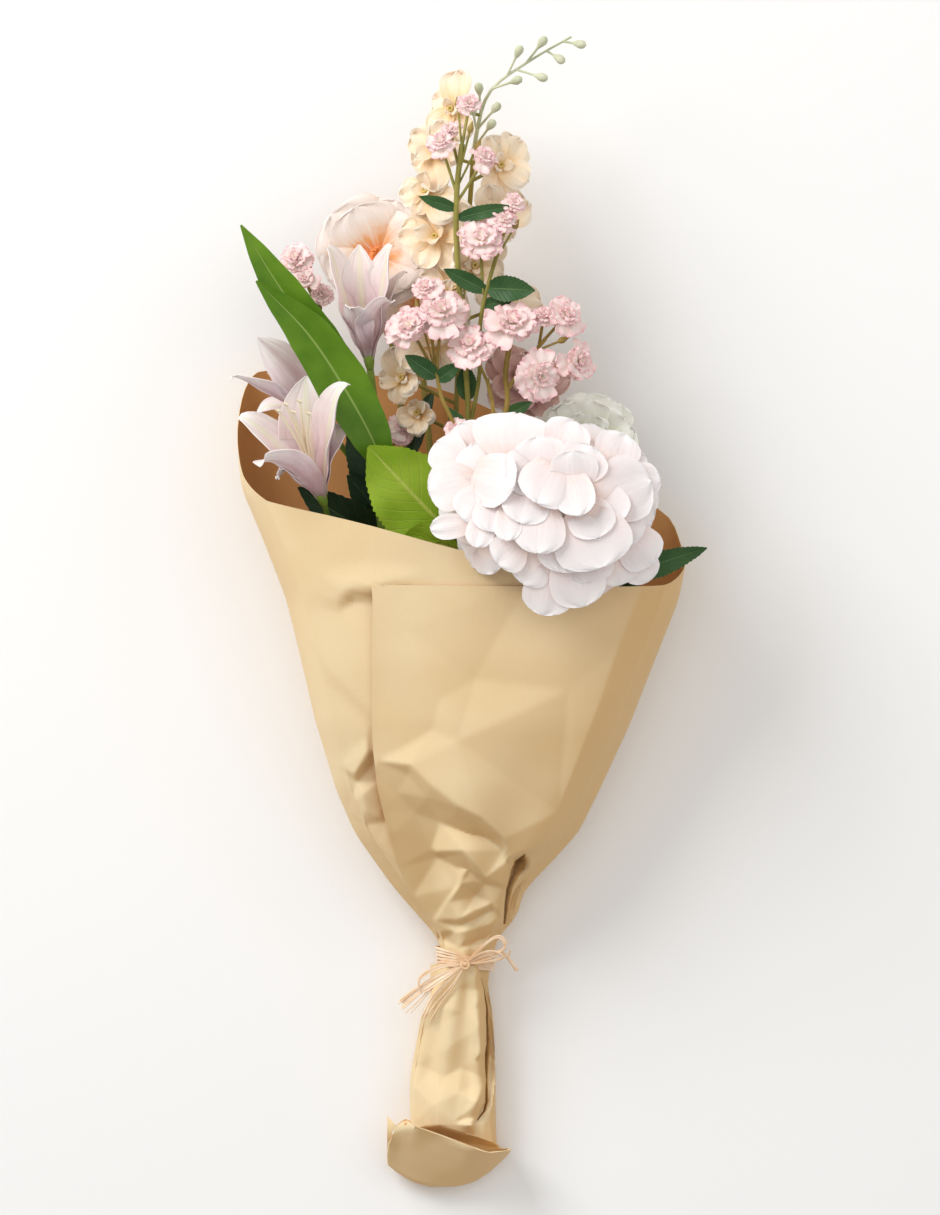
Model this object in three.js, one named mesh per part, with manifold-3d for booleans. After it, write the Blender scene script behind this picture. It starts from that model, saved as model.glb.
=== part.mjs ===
// Mixed flower bouquet in a rolled paper wrapper, lying on its back.
// Millimetres. +X is to the right and +Y towards the flower tips for someone who looks down on it,
// and +Z is up. The tail of the wrapper points to -Y, and the wrapper's flat back lies on z = 0.
import * as THREE from 'three'
import { mergeVertices } from 'three/addons/utils/BufferGeometryUtils.js'
import Module from 'manifold-3d'

const wasm = await Module()
wasm.setup()

// Driving dimensions
const paper = 0.8
const layerGap = 0.8
const touchGap = 0.3
const petalThickness = 0.8
const leafThickness = 0.8
const stemRadius = 2.2
const slimStemRadius = 1.9
const tieY = -231
const stemEndY = -306

const point = (place) => new THREE.Vector3(...place)
const smooth = (t) => t * t * (3 - 2 * t)
const clamp = (value, low, high) => Math.min(high, Math.max(low, value))

// Reads a table of [key, value] rows at any key, with straight lines between its rows
function along(table, key) {
  if (key <= table[0][0]) return table[0][1]
  for (let i = 1; i < table.length; i += 1) {
    const [low, lowValue] = table[i - 1]
    const [high, highValue] = table[i]
    if (key <= high) return lowValue + ((highValue - lowValue) * (key - low)) / (high - low)
  }
  return table[table.length - 1][1]
}

// Solids and booleans
function solidOf(geometry) {
  const plain = new THREE.BufferGeometry()
  plain.setAttribute('position', geometry.attributes.position)
  if (geometry.index) plain.setIndex(geometry.index)
  const merged = mergeVertices(plain, 1e-4)
  return new wasm.Manifold(new wasm.Mesh({
    numProp: 3,
    vertProperties: new Float32Array(merged.attributes.position.array),
    triVerts: new Uint32Array(merged.index.array),
  }))
}

function geometryOf(solid) {
  const mesh = solid.getMesh()
  const geometry = new THREE.BufferGeometry()
  geometry.setAttribute('position', new THREE.BufferAttribute(new Float32Array(mesh.vertProperties), 3))
  geometry.setIndex(new THREE.BufferAttribute(new Uint32Array(mesh.triVerts), 1))
  geometry.computeVertexNormals()
  return geometry
}

// Joins the pieces of one node. Sealed hollows are filled, because only the outer body is kept.
function fuse(name, geometries) {
  const bodies = wasm.Manifold.union(geometries.map(solidOf)).decompose()
  bodies.sort((a, b) => b.volume() - a.volume())
  const loose = bodies.filter((body, i) => i > 0 && body.volume() > 1)
  if (loose.length > 0) {
    const box = loose[0].boundingBox()
    throw new Error(`${name} has ${loose.length} loose pieces, one near ${box.min}`)
  }
  return geometryOf(bodies[0])
}

// A matrix whose Z runs along the axis of a bloom
function onAxis(origin, axis, roll = 0) {
  const z = axis.clone().normalize()
  const side = Math.abs(z.y) > 0.9 ? new THREE.Vector3(1, 0, 0) : new THREE.Vector3(0, 1, 0)
  const x = side.clone().cross(z).normalize()
  const y = z.clone().cross(x)
  return new THREE.Matrix4().makeBasis(x, y, z).setPosition(origin)
    .multiply(new THREE.Matrix4().makeRotationZ(roll))
}

// A closed sheet between two grids of points, top[i][j] and under[i][j].
// Both faces are split into the same triangles.
function closedSheet(top, under) {
  const last = top.length - 1
  const side = top[0].length - 1
  const positions = [...top, ...under].flatMap((row) => row.flatMap((place) => place.toArray()))
  const count = (last + 1) * (side + 1)
  const at = (i, j) => i * (side + 1) + j
  const index = []
  for (let i = 0; i < last; i += 1) {
    for (let j = 0; j < side; j += 1) {
      const [a, b, c, d] = [at(i, j), at(i, j + 1), at(i + 1, j + 1), at(i + 1, j)]
      index.push(a, b, c, a, c, d)
      index.push(a + count, c + count, b + count, a + count, d + count, c + count)
    }
  }
  const wall = (a, b) => index.push(a, b, b + count, a, b + count, a + count)
  for (let i = 0; i < last; i += 1) {
    wall(at(i, 0), at(i + 1, 0))
    wall(at(i + 1, side), at(i, side))
  }
  for (let j = 0; j < side; j += 1) {
    wall(at(0, j + 1), at(0, j))
    wall(at(last, j), at(last, j + 1))
  }
  const geometry = new THREE.BufferGeometry()
  geometry.setAttribute('position', new THREE.BufferAttribute(new Float32Array(positions), 3))
  geometry.setIndex(index)
  return geometry
}

// The same, of even thickness round the middle surface rows[i][j]
function evenSheet(rows, thickness) {
  const last = rows.length - 1
  const side = rows[0].length - 1
  const normalAt = (i, j) => {
    const alongStep = rows[Math.min(i + 1, last)][j].clone().sub(rows[Math.max(i - 1, 0)][j])
    const acrossStep = rows[i][Math.min(j + 1, side)].clone().sub(rows[i][Math.max(j - 1, 0)])
    return acrossStep.cross(alongStep).normalize()
  }
  const face = (offset) => rows.map((row, i) => row.map((place, j) => (
    place.clone().addScaledVector(normalAt(i, j), offset)
  )))
  return closedSheet(face(thickness / 2), face(-thickness / 2))
}

// A leaf or petal along a curve. widths holds [share of the length, half width] rows, facing is where
// its upper side looks at the root and at the tip, cup lifts its two edges by a share of the half width,
// and teeth cuts every second row back by that share.
function blade({ path, widths, facing, rows, columns = 2, cup = 0, teeth = 0, thickness = petalThickness }) {
  const curve = new THREE.CatmullRomCurve3(path.map(point))
  const [rootFacing, tipFacing] = [point(facing[0]), point(facing[facing.length - 1])]
  const middle = []
  for (let i = 0; i <= rows; i += 1) {
    const share = i / rows
    const centre = curve.getPointAt(share)
    const forward = curve.getTangentAt(share)
    const looks = rootFacing.clone().lerp(tipFacing, share).normalize()
    const across = forward.clone().cross(looks).normalize()
    const normal = across.clone().cross(forward).normalize()
    const bite = i % 2 === 1 && i < rows ? 1 - teeth : 1
    const half = along(widths, share) * bite
    const row = []
    for (let j = 0; j <= columns; j += 1) {
      const aside = (2 * j) / columns - 1
      row.push(centre.clone()
        .addScaledVector(across, aside * half)
        .addScaledVector(normal, cup * half * aside * aside))
    }
    middle.push(row)
  }
  return evenSheet(middle, thickness)
}

// A sheet of even thickness round a patch of triangles, given by its places and their triples
function thickPatch(places, triples, thickness = petalThickness) {
  const normals = places.map(() => new THREE.Vector3())
  const edges = new Set()
  triples.forEach(([a, b, c]) => {
    const [ab, ac] = [places[b].clone().sub(places[a]), places[c].clone().sub(places[a])]
    const normal = ab.cross(ac)
    for (const corner of [a, b, c]) normals[corner].add(normal)
    for (const edge of [[a, b], [b, c], [c, a]]) edges.add(edge.join(' '))
  })
  const face = (offset) => places.flatMap((place, i) => (
    place.clone().addScaledVector(normals[i].clone().normalize(), offset).toArray()
  ))
  const under = places.length
  const index = triples.flatMap(([a, b, c]) => [a, b, c, c + under, b + under, a + under])
  triples.forEach(([a, b, c]) => {
    for (const [from, to] of [[a, b], [b, c], [c, a]]) {
      const inside = edges.has(`${to} ${from}`)
      if (!inside) index.push(to, from, from + under, to, from + under, to + under)
    }
  })
  const geometry = new THREE.BufferGeometry()
  const positions = [...face(thickness / 2), ...face(-thickness / 2)]
  geometry.setAttribute('position', new THREE.BufferAttribute(new Float32Array(positions), 3))
  geometry.setIndex(index)
  return geometry
}

// Petals in one thin bowl: rings holds [radius, height] rows from the middle out, and the last ring is
// cut into lobes, each with its own steps round the rim. The bowl opens towards +Z.
function lobedBowl({ rings, lobes, steps, notch, ripple = 0, middle = 0, turn = 0, thickness }) {
  const count = lobes * steps
  const places = [new THREE.Vector3(0, 0, middle)]
  rings.forEach(([radius, height], ring) => {
    const cut = ring === rings.length - 1 ? notch : 0
    for (let k = 0; k < count; k += 1) {
      const angle = turn + (2 * Math.PI * k) / count
      const reach = radius * (1 - cut * Math.pow(Math.abs((2 * (k % steps)) / steps - 1), 3))
      const wave = cut > 0 && k % 2 === 0 ? ripple : 0
      places.push(new THREE.Vector3(reach * Math.cos(angle), reach * Math.sin(angle), height + wave))
    }
  })
  const triples = []
  for (let k = 0; k < count; k += 1) {
    const next = (k + 1) % count
    triples.push([0, 1 + k, 1 + next])
    for (let ring = 1; ring < rings.length; ring += 1) {
      const [inner, outer] = [1 + (ring - 1) * count, 1 + ring * count]
      triples.push([inner + k, outer + k, outer + next], [inner + k, outer + next, inner + next])
    }
  }
  return thickPatch(places, triples, thickness)
}

// A flower, floret or bud in one closed piece with its stalk. The stalk starts at root, inside what it
// grows on, and the flower opens towards looks. profile holds [radius, height, depth of the cuts between
// lobes] rings from the flower's base to its face, and top is the height of its middle.
function onStalk({ root, place, looks, stalk, profile, lobes, steps, top }) {
  const direction = place.clone().sub(root).normalize()
  const opening = looks.clone().normalize()
  const flower = onAxis(place, opening, place.x + place.y)
  const across = new THREE.Vector3().setFromMatrixColumn(flower, 0)
  across.addScaledVector(direction, -across.dot(direction)).normalize()
  const foot = new THREE.Matrix4().makeBasis(across, direction.clone().cross(across), direction)
    .setPosition(root)
  const count = steps * lobes
  const places = [root.clone()]
  const rings = [[stalk, 1, 0], ...profile]
  rings.forEach(([radius, height, cut = 0], ring) => {
    for (let k = 0; k < count; k += 1) {
      const angle = (2 * Math.PI * k) / count
      const reach = radius * (1 - cut * Math.pow(Math.abs((2 * (k % steps)) / steps - 1), 3))
      const spot = new THREE.Vector3(reach * Math.cos(angle), reach * Math.sin(angle), height)
      places.push(spot.applyMatrix4(ring === 0 ? foot : flower))
    }
  })
  const last = places.push(new THREE.Vector3(0, 0, top).applyMatrix4(flower)) - 1
  const index = []
  for (let k = 0; k < count; k += 1) {
    const next = (k + 1) % count
    index.push(0, 1 + next, 1 + k)
    for (let ring = 1; ring < rings.length; ring += 1) {
      const [lower, upper] = [1 + (ring - 1) * count, 1 + ring * count]
      index.push(lower + k, lower + next, upper + next, lower + k, upper + next, upper + k)
    }
    index.push(last - count + k, last - count + next, last)
  }
  const geometry = new THREE.BufferGeometry().setFromPoints(places)
  geometry.setIndex(index)
  return geometry
}

// Between the direction of a stalk and straight up
const leaning = (from, to, share) => to.clone().sub(from).normalize().lerp(new THREE.Vector3(0, 0, 1), share)

// A round stem or twig along a curve
function stem(path, radius = stemRadius, steps = 8, sides = 5) {
  const section = new THREE.Shape()
  for (let k = 0; k < sides; k += 1) {
    const turn = (2 * Math.PI * k) / sides
    const method = k === 0 ? 'moveTo' : 'lineTo'
    section[method](radius * Math.cos(turn), radius * Math.sin(turn))
  }
  const curve = new THREE.CatmullRomCurve3(path.map(point), false, 'centripetal')
  return new THREE.ExtrudeGeometry(section, { steps, extrudePath: curve, bevelEnabled: false })
}

// A turned piece from [radius, height] rows, on the axis at both ends
function turned(profile, sides = 6) {
  return new THREE.LatheGeometry(profile.map(([r, h]) => new THREE.Vector2(r, h)), sides)
    .rotateX(Math.PI / 2)
}

// Where each stem passes through the tied neck: eleven places of a hexagonal packing
const slotPitch = 5.4
const slotRow = slotPitch * Math.sqrt(0.75)
const slots = {
  frontSpray: [0, 2 * slotRow],
  lily: [-1.5 * slotPitch, slotRow],
  foliage: [-0.5 * slotPitch, slotRow],
  tallSpray: [0.5 * slotPitch, slotRow],
  hydrangea: [1.5 * slotPitch, slotRow],
  farSpray: [-slotPitch, 0],
  delphinium: [0, 0],
  whiteRose: [slotPitch, 0],
  largePoppy: [-1.5 * slotPitch, -slotRow],
  smallPoppy: [-0.5 * slotPitch, -slotRow],
  dustyPink: [0.5 * slotPitch, -slotRow],
}

// The bundle's middle at four places along the tail and neck: [x, y, z]
const bundle = [[-11, stemEndY, 15.6], [-8.5, -266, 16.2], [-2.2, tieY, 18.6], [-1, -208, 22]]

function fromNeck(slotName, places) {
  const [dx, dz] = slots[slotName]
  return [...bundle.map(([x, y, z]) => [x + dx, y, z + dz]), ...places]
}

// The wrapper: one sheet rolled a little more than once round the stems.
// Sections run across the bouquet: [y, left edge, right edge, top, lowest point]
const sections = [
  [-312, -40, 17, 31, 0],
  [-268.5, -32.5, 15, 32, 0],
  [-246, -22, 11, 33.5, 0.8],
  [-231, -19.8, 15.4, 35.4, 1.8],
  [-218, -21, 17, 38, 1.2],
  [-203.5, -32.5, 30, 46, 0],
  [-186, -47.5, 34, 55, 0],
  [-171, -58.5, 48.8, 63, 0],
  [-148, -74.8, 70, 74, 0],
  [-119, -87.8, 84.5, 86, 0],
  [-76.7, -100.8, 104.6, 99, 0],
  [-34.5, -110.5, 121, 108, 0],
  [4.6, -120, 136.5, 114, 0],
  [43.6, -135, 144, 118, 0],
  [78, -149.5, 148, 120, 0],
  [110, -152.5, 150, 122, 0],
  [170, -152.5, 152, 126, 0],
]

// The tail's end is pressed flat and folded up over itself, from its free end to the first plain section:
// [y, z of the middle, tilt in degrees, middle x, half width, half depth]
const foldedTail = [
  [-340, 27.5, -176, -12, 37, 3.1],
  [-356, 26.5, -170, -14, 40, 3.1],
  [-370, 21.5, -135, -14, 41, 3.1],
  [-376, 12.5, -90, -14, 40.5, 3.1],
  [-370, 5, -35, -14, 39.5, 3.6],
  [-355, 6.5, 0, -14, 37, 6.5],
  [-332, 11, 0, -13, 30, 11],
]

// Where the sheet's outer edge lies, in degrees round the section (0 is +X and 90 is the top)
const flapStart = [[-340, 150], [-231, 168], [-203, 150], [-150, 127], [-60, 116], [14, 117]]
const rollTurn = 408
const sheetSteps = 22
const pleatDepth = [
  [-340, 0], [-300, 0.9], [-246, 0.8], [-231, 0.4], [-205, 1.6], [-180, 2], [-120, 1], [-70, 0],
]
const pleatCount = 9

// How far up the paper reaches, by the turn round the section from the outer edge
const rim = [
  [0, 14.5], [60, 13], [85, 14], [105, 22], [120, 29], [140, 38], [160, 62], [185, 104], [215, 146],
  [245, 160], [270, 152], [290, 126], [305, 92], [330, 72], [360, 56], [385, 36], [rollTurn, 22],
]
const rimSteps = 5
const plainTop = -76

// One point of a section: round at its sides and gently arched across its top and back
function sectionPoint({ middleX, middleZ, halfWidth, halfDepth, low }, angle, outset) {
  const bare = (degrees) => {
    const cosine = Math.cos(THREE.MathUtils.degToRad(degrees))
    const sine = Math.sin(THREE.MathUtils.degToRad(degrees))
    const straight = (halfWidth - halfDepth) * clamp(1.25 * cosine, -1, 1)
    return new THREE.Vector2(straight + halfDepth * cosine, halfDepth * sine)
  }
  const step = bare(angle + 2).sub(bare(angle - 2)).normalize()
  const spot = bare(angle).add(new THREE.Vector2(step.y, -step.x).multiplyScalar(outset))
  return [middleX + spot.x, Math.max(middleZ + spot.y, low - Math.min(outset, 0))]
}

function sectionAt(y) {
  const [left, right, top, low] = [1, 2, 3, 4].map((column) => (
    along(sections.map((section) => [section[0], section[column]]), y)
  ))
  return {
    middleX: (left + right) / 2,
    middleZ: low + (top - low) * 0.48,
    halfWidth: (right - left) / 2,
    halfDepth: (top - low) * 0.52,
    low,
  }
}

// A point of the sheet. Inward is the depth below its outer face, and an inner layer lies deeper still.
function wrapperPoint(row, turn, inward) {
  const layer = (paper + layerGap) * smooth(clamp((turn - 300) / 58, 0, 1))
  const outset = -(layer + inward)
  if (row < foldedTail.length) {
    const [y, z, tilt, middleX, halfWidth, halfDepth] = foldedTail[row]
    const place = { middleX, middleZ: 0, halfWidth, halfDepth, low: -halfDepth }
    const [x, rise] = sectionPoint(place, along(flapStart, y) - turn, outset)
    const lean = THREE.MathUtils.degToRad(tilt)
    return new THREE.Vector3(x, y - rise * Math.sin(lean), z + rise * Math.cos(lean))
  }
  const plain = sections.filter(([level]) => level < plainTop)
  const plainRow = row - foldedTail.length
  const share = Math.max(0, plainRow - plain.length + 1) / rimSteps
  const lastPlain = plain[plain.length - 1][0]
  const y = share > 0 ? lastPlain + (along(rim, turn) - lastPlain) * share : plain[plainRow][0]
  const angle = along(flapStart, y) - turn
  const fold = along(pleatDepth, y) * Math.cos(THREE.MathUtils.degToRad(pleatCount * angle + 0.6 * y))
  const section = sectionAt(y)
  const [x, z] = sectionPoint(section, angle, outset + fold)
  return new THREE.Vector3(x, y, Math.max(z, section.low + layer + inward))
}

function wrapper() {
  const rows = foldedTail.length + sections.filter(([level]) => level < plainTop).length + rimSteps
  const face = (inward) => Array.from({ length: rows }, (unusedRow, row) => (
    Array.from({ length: sheetSteps + 1 }, (unusedStep, step) => (
      wrapperPoint(row, (rollTurn * step) / sheetSteps, inward)
    ))
  ))
  return closedSheet(face(0), face(paper))
}

// Raffia round the neck: bands, a knot, two loops and loose ends, all flat strips sunk in the knot
const raffiaWidth = 2.6
const raffiaThickness = 0.9
const knot = [-3, -234, 39.6]

function strip(path, steps, width = raffiaWidth) {
  const section = new THREE.Shape()
  section.moveTo(-raffiaThickness / 2, -width / 2)
  section.lineTo(raffiaThickness / 2, -width / 2)
  section.lineTo(raffiaThickness / 2, width / 2)
  section.lineTo(-raffiaThickness / 2, width / 2)
  const curve = new THREE.CatmullRomCurve3(path.map(point))
  return new THREE.ExtrudeGeometry(section, { steps, extrudePath: curve, bevelEnabled: false })
}

function band(fromAngle, toAngle, lean) {
  const path = []
  for (let k = 0; k <= 8; k += 1) {
    const angle = fromAngle + ((toAngle - fromAngle) * k) / 8
    const y = tieY - lean * Math.cos(THREE.MathUtils.degToRad(angle))
    const section = sectionAt(y)
    const [x, z] = sectionPoint({ ...section, low: section.low - 1.1 }, angle, 2)
    path.push([x, y, z])
  }
  return strip(path, 8, 4.5)
}

function raffiaTie() {
  const ends = [
    [knot, [-24, -240, 37], [-38, -250, 33], [-45, -258, 32.4]],
    [knot, [-20, -243, 37.5], [-32, -256, 33], [-37, -268, 32.6]],
    [knot, [-14, -246, 37.5], [-24, -259, 33.6], [-30, -270, 33]],
    [knot, [8, -229, 41], [22, -230, 40], [31, -239, 36]],
  ]
  const loops = [
    [knot, [8, -222, 43], [21, -216.5, 45], [24, -223, 45], [14, -230, 42], knot],
    [knot, [-20, -234, 40], [-33, -243, 38], [-30, -252, 36], [-17, -244, 39], knot],
  ]
  return fuse('raffia_tie', [
    band(-100, 100, 3.5),
    band(80, 280, 3.5),
    turned([[0, -3], [3.4, -2], [4.2, 0], [3.4, 2], [0, 3]], 7)
      .applyMatrix4(onAxis(point(knot), new THREE.Vector3(0.3, 0.6, 1))),
    ...ends.map((path) => strip(path, 3)),
    ...loops.map((path) => strip(path, 7)),
  ])
}

// Leaves of one kind, from their base to their tip
function serratedLeaf(base, tip, half, facing = [0, 0, 1], rows = 4, columns = 2) {
  const middle = point(base).lerp(point(tip), 0.5).addScaledVector(point(facing), half * 0.15)
  return blade({
    path: [base, middle.toArray(), tip],
    widths: [[0, 1], [0.25, half * 0.85], [0.5, half], [0.8, half * 0.6], [1, 0.8]],
    facing: [facing],
    rows,
    columns,
    cup: 0.25,
    teeth: 0.12,
    thickness: leafThickness,
  })
}

// A bloom of nested bowls of petals round a turned heart. Its base is at the origin of its frame.
function nestedBloom(name, { base, axis, heart, bowls }) {
  const frame = onAxis(point(base), point(axis))
  return fuse(name, [
    turned(heart).applyMatrix4(frame),
    ...bowls.map((bowl) => lobedBowl(bowl).applyMatrix4(frame)),
  ])
}

// The last stretch of a stem, which ends just short of the base of its bloom
const reach = (base, axis, distance) => {
  const direction = point(axis).normalize()
  return [distance, touchGap + 0.1].map((gap) => (
    point(base).addScaledVector(direction, -gap).toArray()
  ))
}

// Hydrangea: broad four-petal florets over a domed core
const hydrangeaMiddle = [49, 62, 104]
const hydrangeaDome = [76, 64, 50]
const hydrangeaBase = [44, 34, 76]
const hydrangeaAxis = [0.125, 0.7, 0.7]
// Each floret: [x, y, radius]
const florets = [
  [-6, 74, 27], [17, 108, 26], [50, 99, 26], [84, 103, 25], [111, 82, 25], [75, 69, 25], [34, 66, 25],
  [6, 41, 24], [42, 40, 23], [77, 36, 24], [108, 47, 24], [56, 6.6, 22], [91, 15.2, 21],
]

function floretPlace([x, y]) {
  const dx = (x - hydrangeaMiddle[0]) / hydrangeaDome[0]
  const dy = (y - hydrangeaMiddle[1]) / hydrangeaDome[1]
  return new THREE.Vector3(x, y, hydrangeaMiddle[2] + hydrangeaDome[2] * Math.sqrt(1 - dx * dx - dy * dy))
}

function hydrangeaHead() {
  const core = new THREE.SphereGeometry(1, 7, 5).scale(39, 34, 28).translate(...hydrangeaMiddle)
  const pieces = [core, stem([hydrangeaBase, hydrangeaMiddle], 3.4, 1, 5)]
  florets.forEach(([x, y, radius]) => {
    const place = floretPlace([x, y])
    const root = point(hydrangeaMiddle).lerp(place, 0.5).setZ(112)
    const edge = petalThickness / 2
    pieces.push(onStalk({
      root,
      place,
      looks: place.clone().sub(root),
      stalk: 1.5,
      profile: [[1.5, -1.5], [radius, -2 - edge, 0.4], [radius, -2 + edge, 0.4]],
      lobes: 4,
      steps: 3,
      top: 0.5,
    }))
  })
  return fuse('hydrangea_head', pieces)
}

function hydrangeaStem() {
  const broadLeaf = (path, half) => blade({
    path,
    widths: [[0, 1], [0.2, half * 0.75], [0.45, half], [0.75, half * 0.72], [1, 1]],
    facing: [[0.1, -0.2, 1]],
    rows: 8,
    cup: 0.15,
    teeth: 0.1,
    thickness: leafThickness,
  })
  return fuse('hydrangea_stem', [
    stem(fromNeck('hydrangea', [[24, -80, 44], ...reach(hydrangeaBase, hydrangeaAxis, 26)]), 2.6, 10),
    stem([[34, -30, 52], [16, 20, 84], [-14, 49, 99]], 1.6, 5),
    broadLeaf([[-12, 47, 98], [-36, 72, 106], [-65.7, 104, 116]], 29),
    stem([[34, -32, 50], [18, 10, 76], [-4, 36, 92]], 1.5, 4),
    broadLeaf([[-2, 35, 92], [-24, 42, 100], [-48, 40, 102]], 17),
  ])
}

// White ruffled bloom, and the rose leaf that leans over the wrapper's right rim
const whiteRoseBase = [80, 109, 53]
const whiteRoseAxis = [0.25, 0.45, 0.86]

function whiteRoseBloom() {
  return nestedBloom('white_rose_bloom', {
    base: whiteRoseBase,
    axis: whiteRoseAxis,
    heart: [[0, 0], [3, 0], [7, 8], [8, 22], [6, 33], [0, 35]],
    bowls: [
      { middle: 4, rings: [[20, 12], [38, 26]], lobes: 7, steps: 3, notch: 0.28, ripple: 1.5 },
      { middle: 9, rings: [[17, 20], [27, 36]], lobes: 6, steps: 2, notch: 0.2, turn: 0.4 },
      { middle: 14, rings: [[11, 26], [15, 41]], lobes: 5, steps: 2, notch: 0.2, turn: 0.1 },
    ],
  })
}

function whiteRoseStem() {
  return fuse('white_rose_stem', [
    stem(fromNeck('whiteRose', [
      [30, -80, 34],
      [60, 40, 40],
      ...reach(whiteRoseBase, whiteRoseAxis, 14),
    ]), stemRadius, 10),
    stem([[42, -30, 37], [66, -16, 58], [86, 10, 84], [98, 18, 97]], 1.4, 6),
    serratedLeaf([86, 9, 84], [120, 26, 90], 9, [-0.3, 0.1, 1], 6),
    serratedLeaf([97, 17, 95], [154, 38.4, 95], 9, [0.1, -0.3, 1], 8),
  ])
}

// Lilies: six tepals from a narrow base, each given by the side that it stands on and its tip
const lilies = {
  front: {
    base: [-94.6, 66.3, 91],
    axis: [-0.28, 0.82, 0.5],
    tepals: [
      { side: [-0.3, -0.55, 0.8], tip: [-135, 95, 120], half: 12 },
      { side: [0.9, 0.2, 0.25], tip: [-86, 141, 133], half: 12 },
      { side: [-0.85, 0.3, 0.1], tip: [-146, 123, 114], half: 10 },
      { side: [-0.1, 0.4, -0.8], tip: [-106, 150, 103], half: 14 },
      { side: [-0.6, -0.3, -0.5], tip: [-124, 84, 92], half: 8 },
      { side: [0.7, 0.1, -0.6], tip: [-76, 118, 99], half: 10 },
    ],
    stamens: [[-110, 133, 128], [-114, 126, 130], [-124, 127, 124], [-104, 125, 132]],
  },
  middle: {
    base: [-86, 108, 60],
    axis: [-0.5, 0.78, 0.36],
    tepals: [
      { side: [0.2, 0.5, 0.8], tip: [-138, 175, 94], half: 13 },
      { side: [-0.6, -0.4, 0.6], tip: [-154, 151, 88], half: 9 },
      { side: [-0.6, -0.5, -0.5], tip: [-138, 128, 62], half: 9 },
      { side: [0, 0.3, -0.9], tip: [-130, 160, 58], half: 9 },
      { side: [0.8, 0.4, -0.2], tip: [-102, 172, 70], half: 11 },
    ],
    stamens: [[-130, 152, 82], [-127, 157, 74]],
  },
  upper: {
    base: [-65, 155, 84],
    axis: [-0.12, 0.97, 0.2],
    tepals: [
      { side: [-0.8, 0, 0.1], tip: [-92, 233, 96], half: 13 },
      { side: [0.6, 0, 0.5], tip: [-52, 235, 99], half: 13 },
      { side: [0.8, 0, -0.3], tip: [-43, 218, 88], half: 9 },
      { side: [-0.4, -0.1, 0.9], tip: [-77, 194, 112], half: 9 },
      { side: [0.5, -0.1, 0.8], tip: [-51, 198, 109], half: 10 },
      { side: [-0.1, 0, -0.9], tip: [-72, 236, 84], half: 12 },
    ],
    stamens: [],
  },
}

// Six tepals that share one narrow tube, as one sheet: each has two rows of three places and a tip
function lilyBloom(name, { base, axis, tepals, stamens }) {
  const root = point(base)
  const forward = point(axis).normalize()
  const flat = (direction) => point(direction)
    .addScaledVector(forward, -point(direction).dot(forward)).normalize()
  const spot = (rise, side, out) => root.clone().addScaledVector(forward, rise).addScaledVector(side, out)
  const places = []
  const triples = []
  const add = (place) => places.push(place) - 1
  const sides = tepals.map(({ side }) => flat(side))
  const foot = add(spot(4, forward, 0))
  const mids = sides.map((side) => add(spot(20, side, 6.5)))
  const between = sides.map((side, k) => {
    const next = sides[(k + 1) % sides.length]
    const shared = side.clone().add(next).addScaledVector(forward.clone().cross(side), 0.02).normalize()
    return add(spot(22, shared, 6.5))
  })
  tepals.forEach(({ tip, half }, k) => {
    const before = (k + tepals.length - 1) % tepals.length
    const [left, mid, right] = [between[before], mids[k], between[k]]
    triples.push([foot, mid, left], [foot, right, mid])
    const across = forward.clone().cross(sides[k]).normalize()
    const curve = new THREE.QuadraticBezierCurve3(spot(20, sides[k], 6.5), spot(46, sides[k], 15), point(tip))
    const row = (share, width) => [-1, 0, 1].map((aside) => add(
      curve.getPoint(share).addScaledVector(across, aside * width)
        .addScaledVector(sides[k], -0.25 * width * Math.abs(aside)),
    ))
    const [low, high] = [row(0.4, half * 0.9), row(0.75, half * 0.85)]
    const end = add(point(tip))
    const strips = [[[left, mid, right], low], [low, high]]
    strips.forEach(([from, to]) => [0, 1].forEach((j) => {
      triples.push([from[j], from[j + 1], to[j + 1]], [from[j], to[j + 1], to[j]])
    }))
    triples.push([high[0], high[1], end], [high[1], high[2], end])
  })
  const heart = turned([[0, 0], [2.6, 0], [4, 6], [3, 14], [0, 18]])
  const pieces = [heart.applyMatrix4(onAxis(root, forward)), thickPatch(places, triples)]
  stamens.forEach((tip) => {
    const middle = spot(38, forward, 0).lerp(point(tip), 0.3)
    pieces.push(stem([spot(12, forward, 0).toArray(), middle.toArray(), tip], 0.9, 2, 3))
  })
  return fuse(name, pieces)
}

function lilyStem() {
  const lanceLeaf = (path, half) => blade({
    path,
    widths: [[0, 3], [0.2, half * 0.75], [0.45, half], [0.7, half * 0.8], [0.88, half * 0.42], [1, 0.8]],
    facing: [[0.15, -0.1, 1]],
    rows: 6,
    cup: 0.18,
    thickness: leafThickness,
  })
  return fuse('lily_stem', [
    stem(fromNeck('lily', [
      [-40, -60, 56],
      [-58, 50, 72],
      ...reach(lilies.upper.base, lilies.upper.axis, 26),
    ]), 2.4, 11),
    stem([[-52, 0, 66], ...reach(lilies.front.base, lilies.front.axis, 22)], 1.9, 5),
    stem([
      [-51, -4, 64.5],
      [-59, 34, 51],
      ...reach(lilies.middle.base, lilies.middle.axis, 20),
    ], 1.9, 6),
    stem([[-57, 40, 71], [-54, 64, 88], [-53, 84, 101]], 1.9, 4),
    lanceLeaf([
      [-53, 80, 98], [-62, 106, 104], [-79, 138, 109], [-105, 177, 121], [-138, 210.5, 131],
    ], 17.5),
    stem([[-58, 70, 73], [-56, 96, 84], [-62, 116, 94]], 1.8, 4),
    lanceLeaf([
      [-61, 112, 92], [-75, 140, 103], [-97.5, 170, 110], [-125, 210, 117], [-148.2, 247, 122],
    ], 15),
  ])
}

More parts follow.
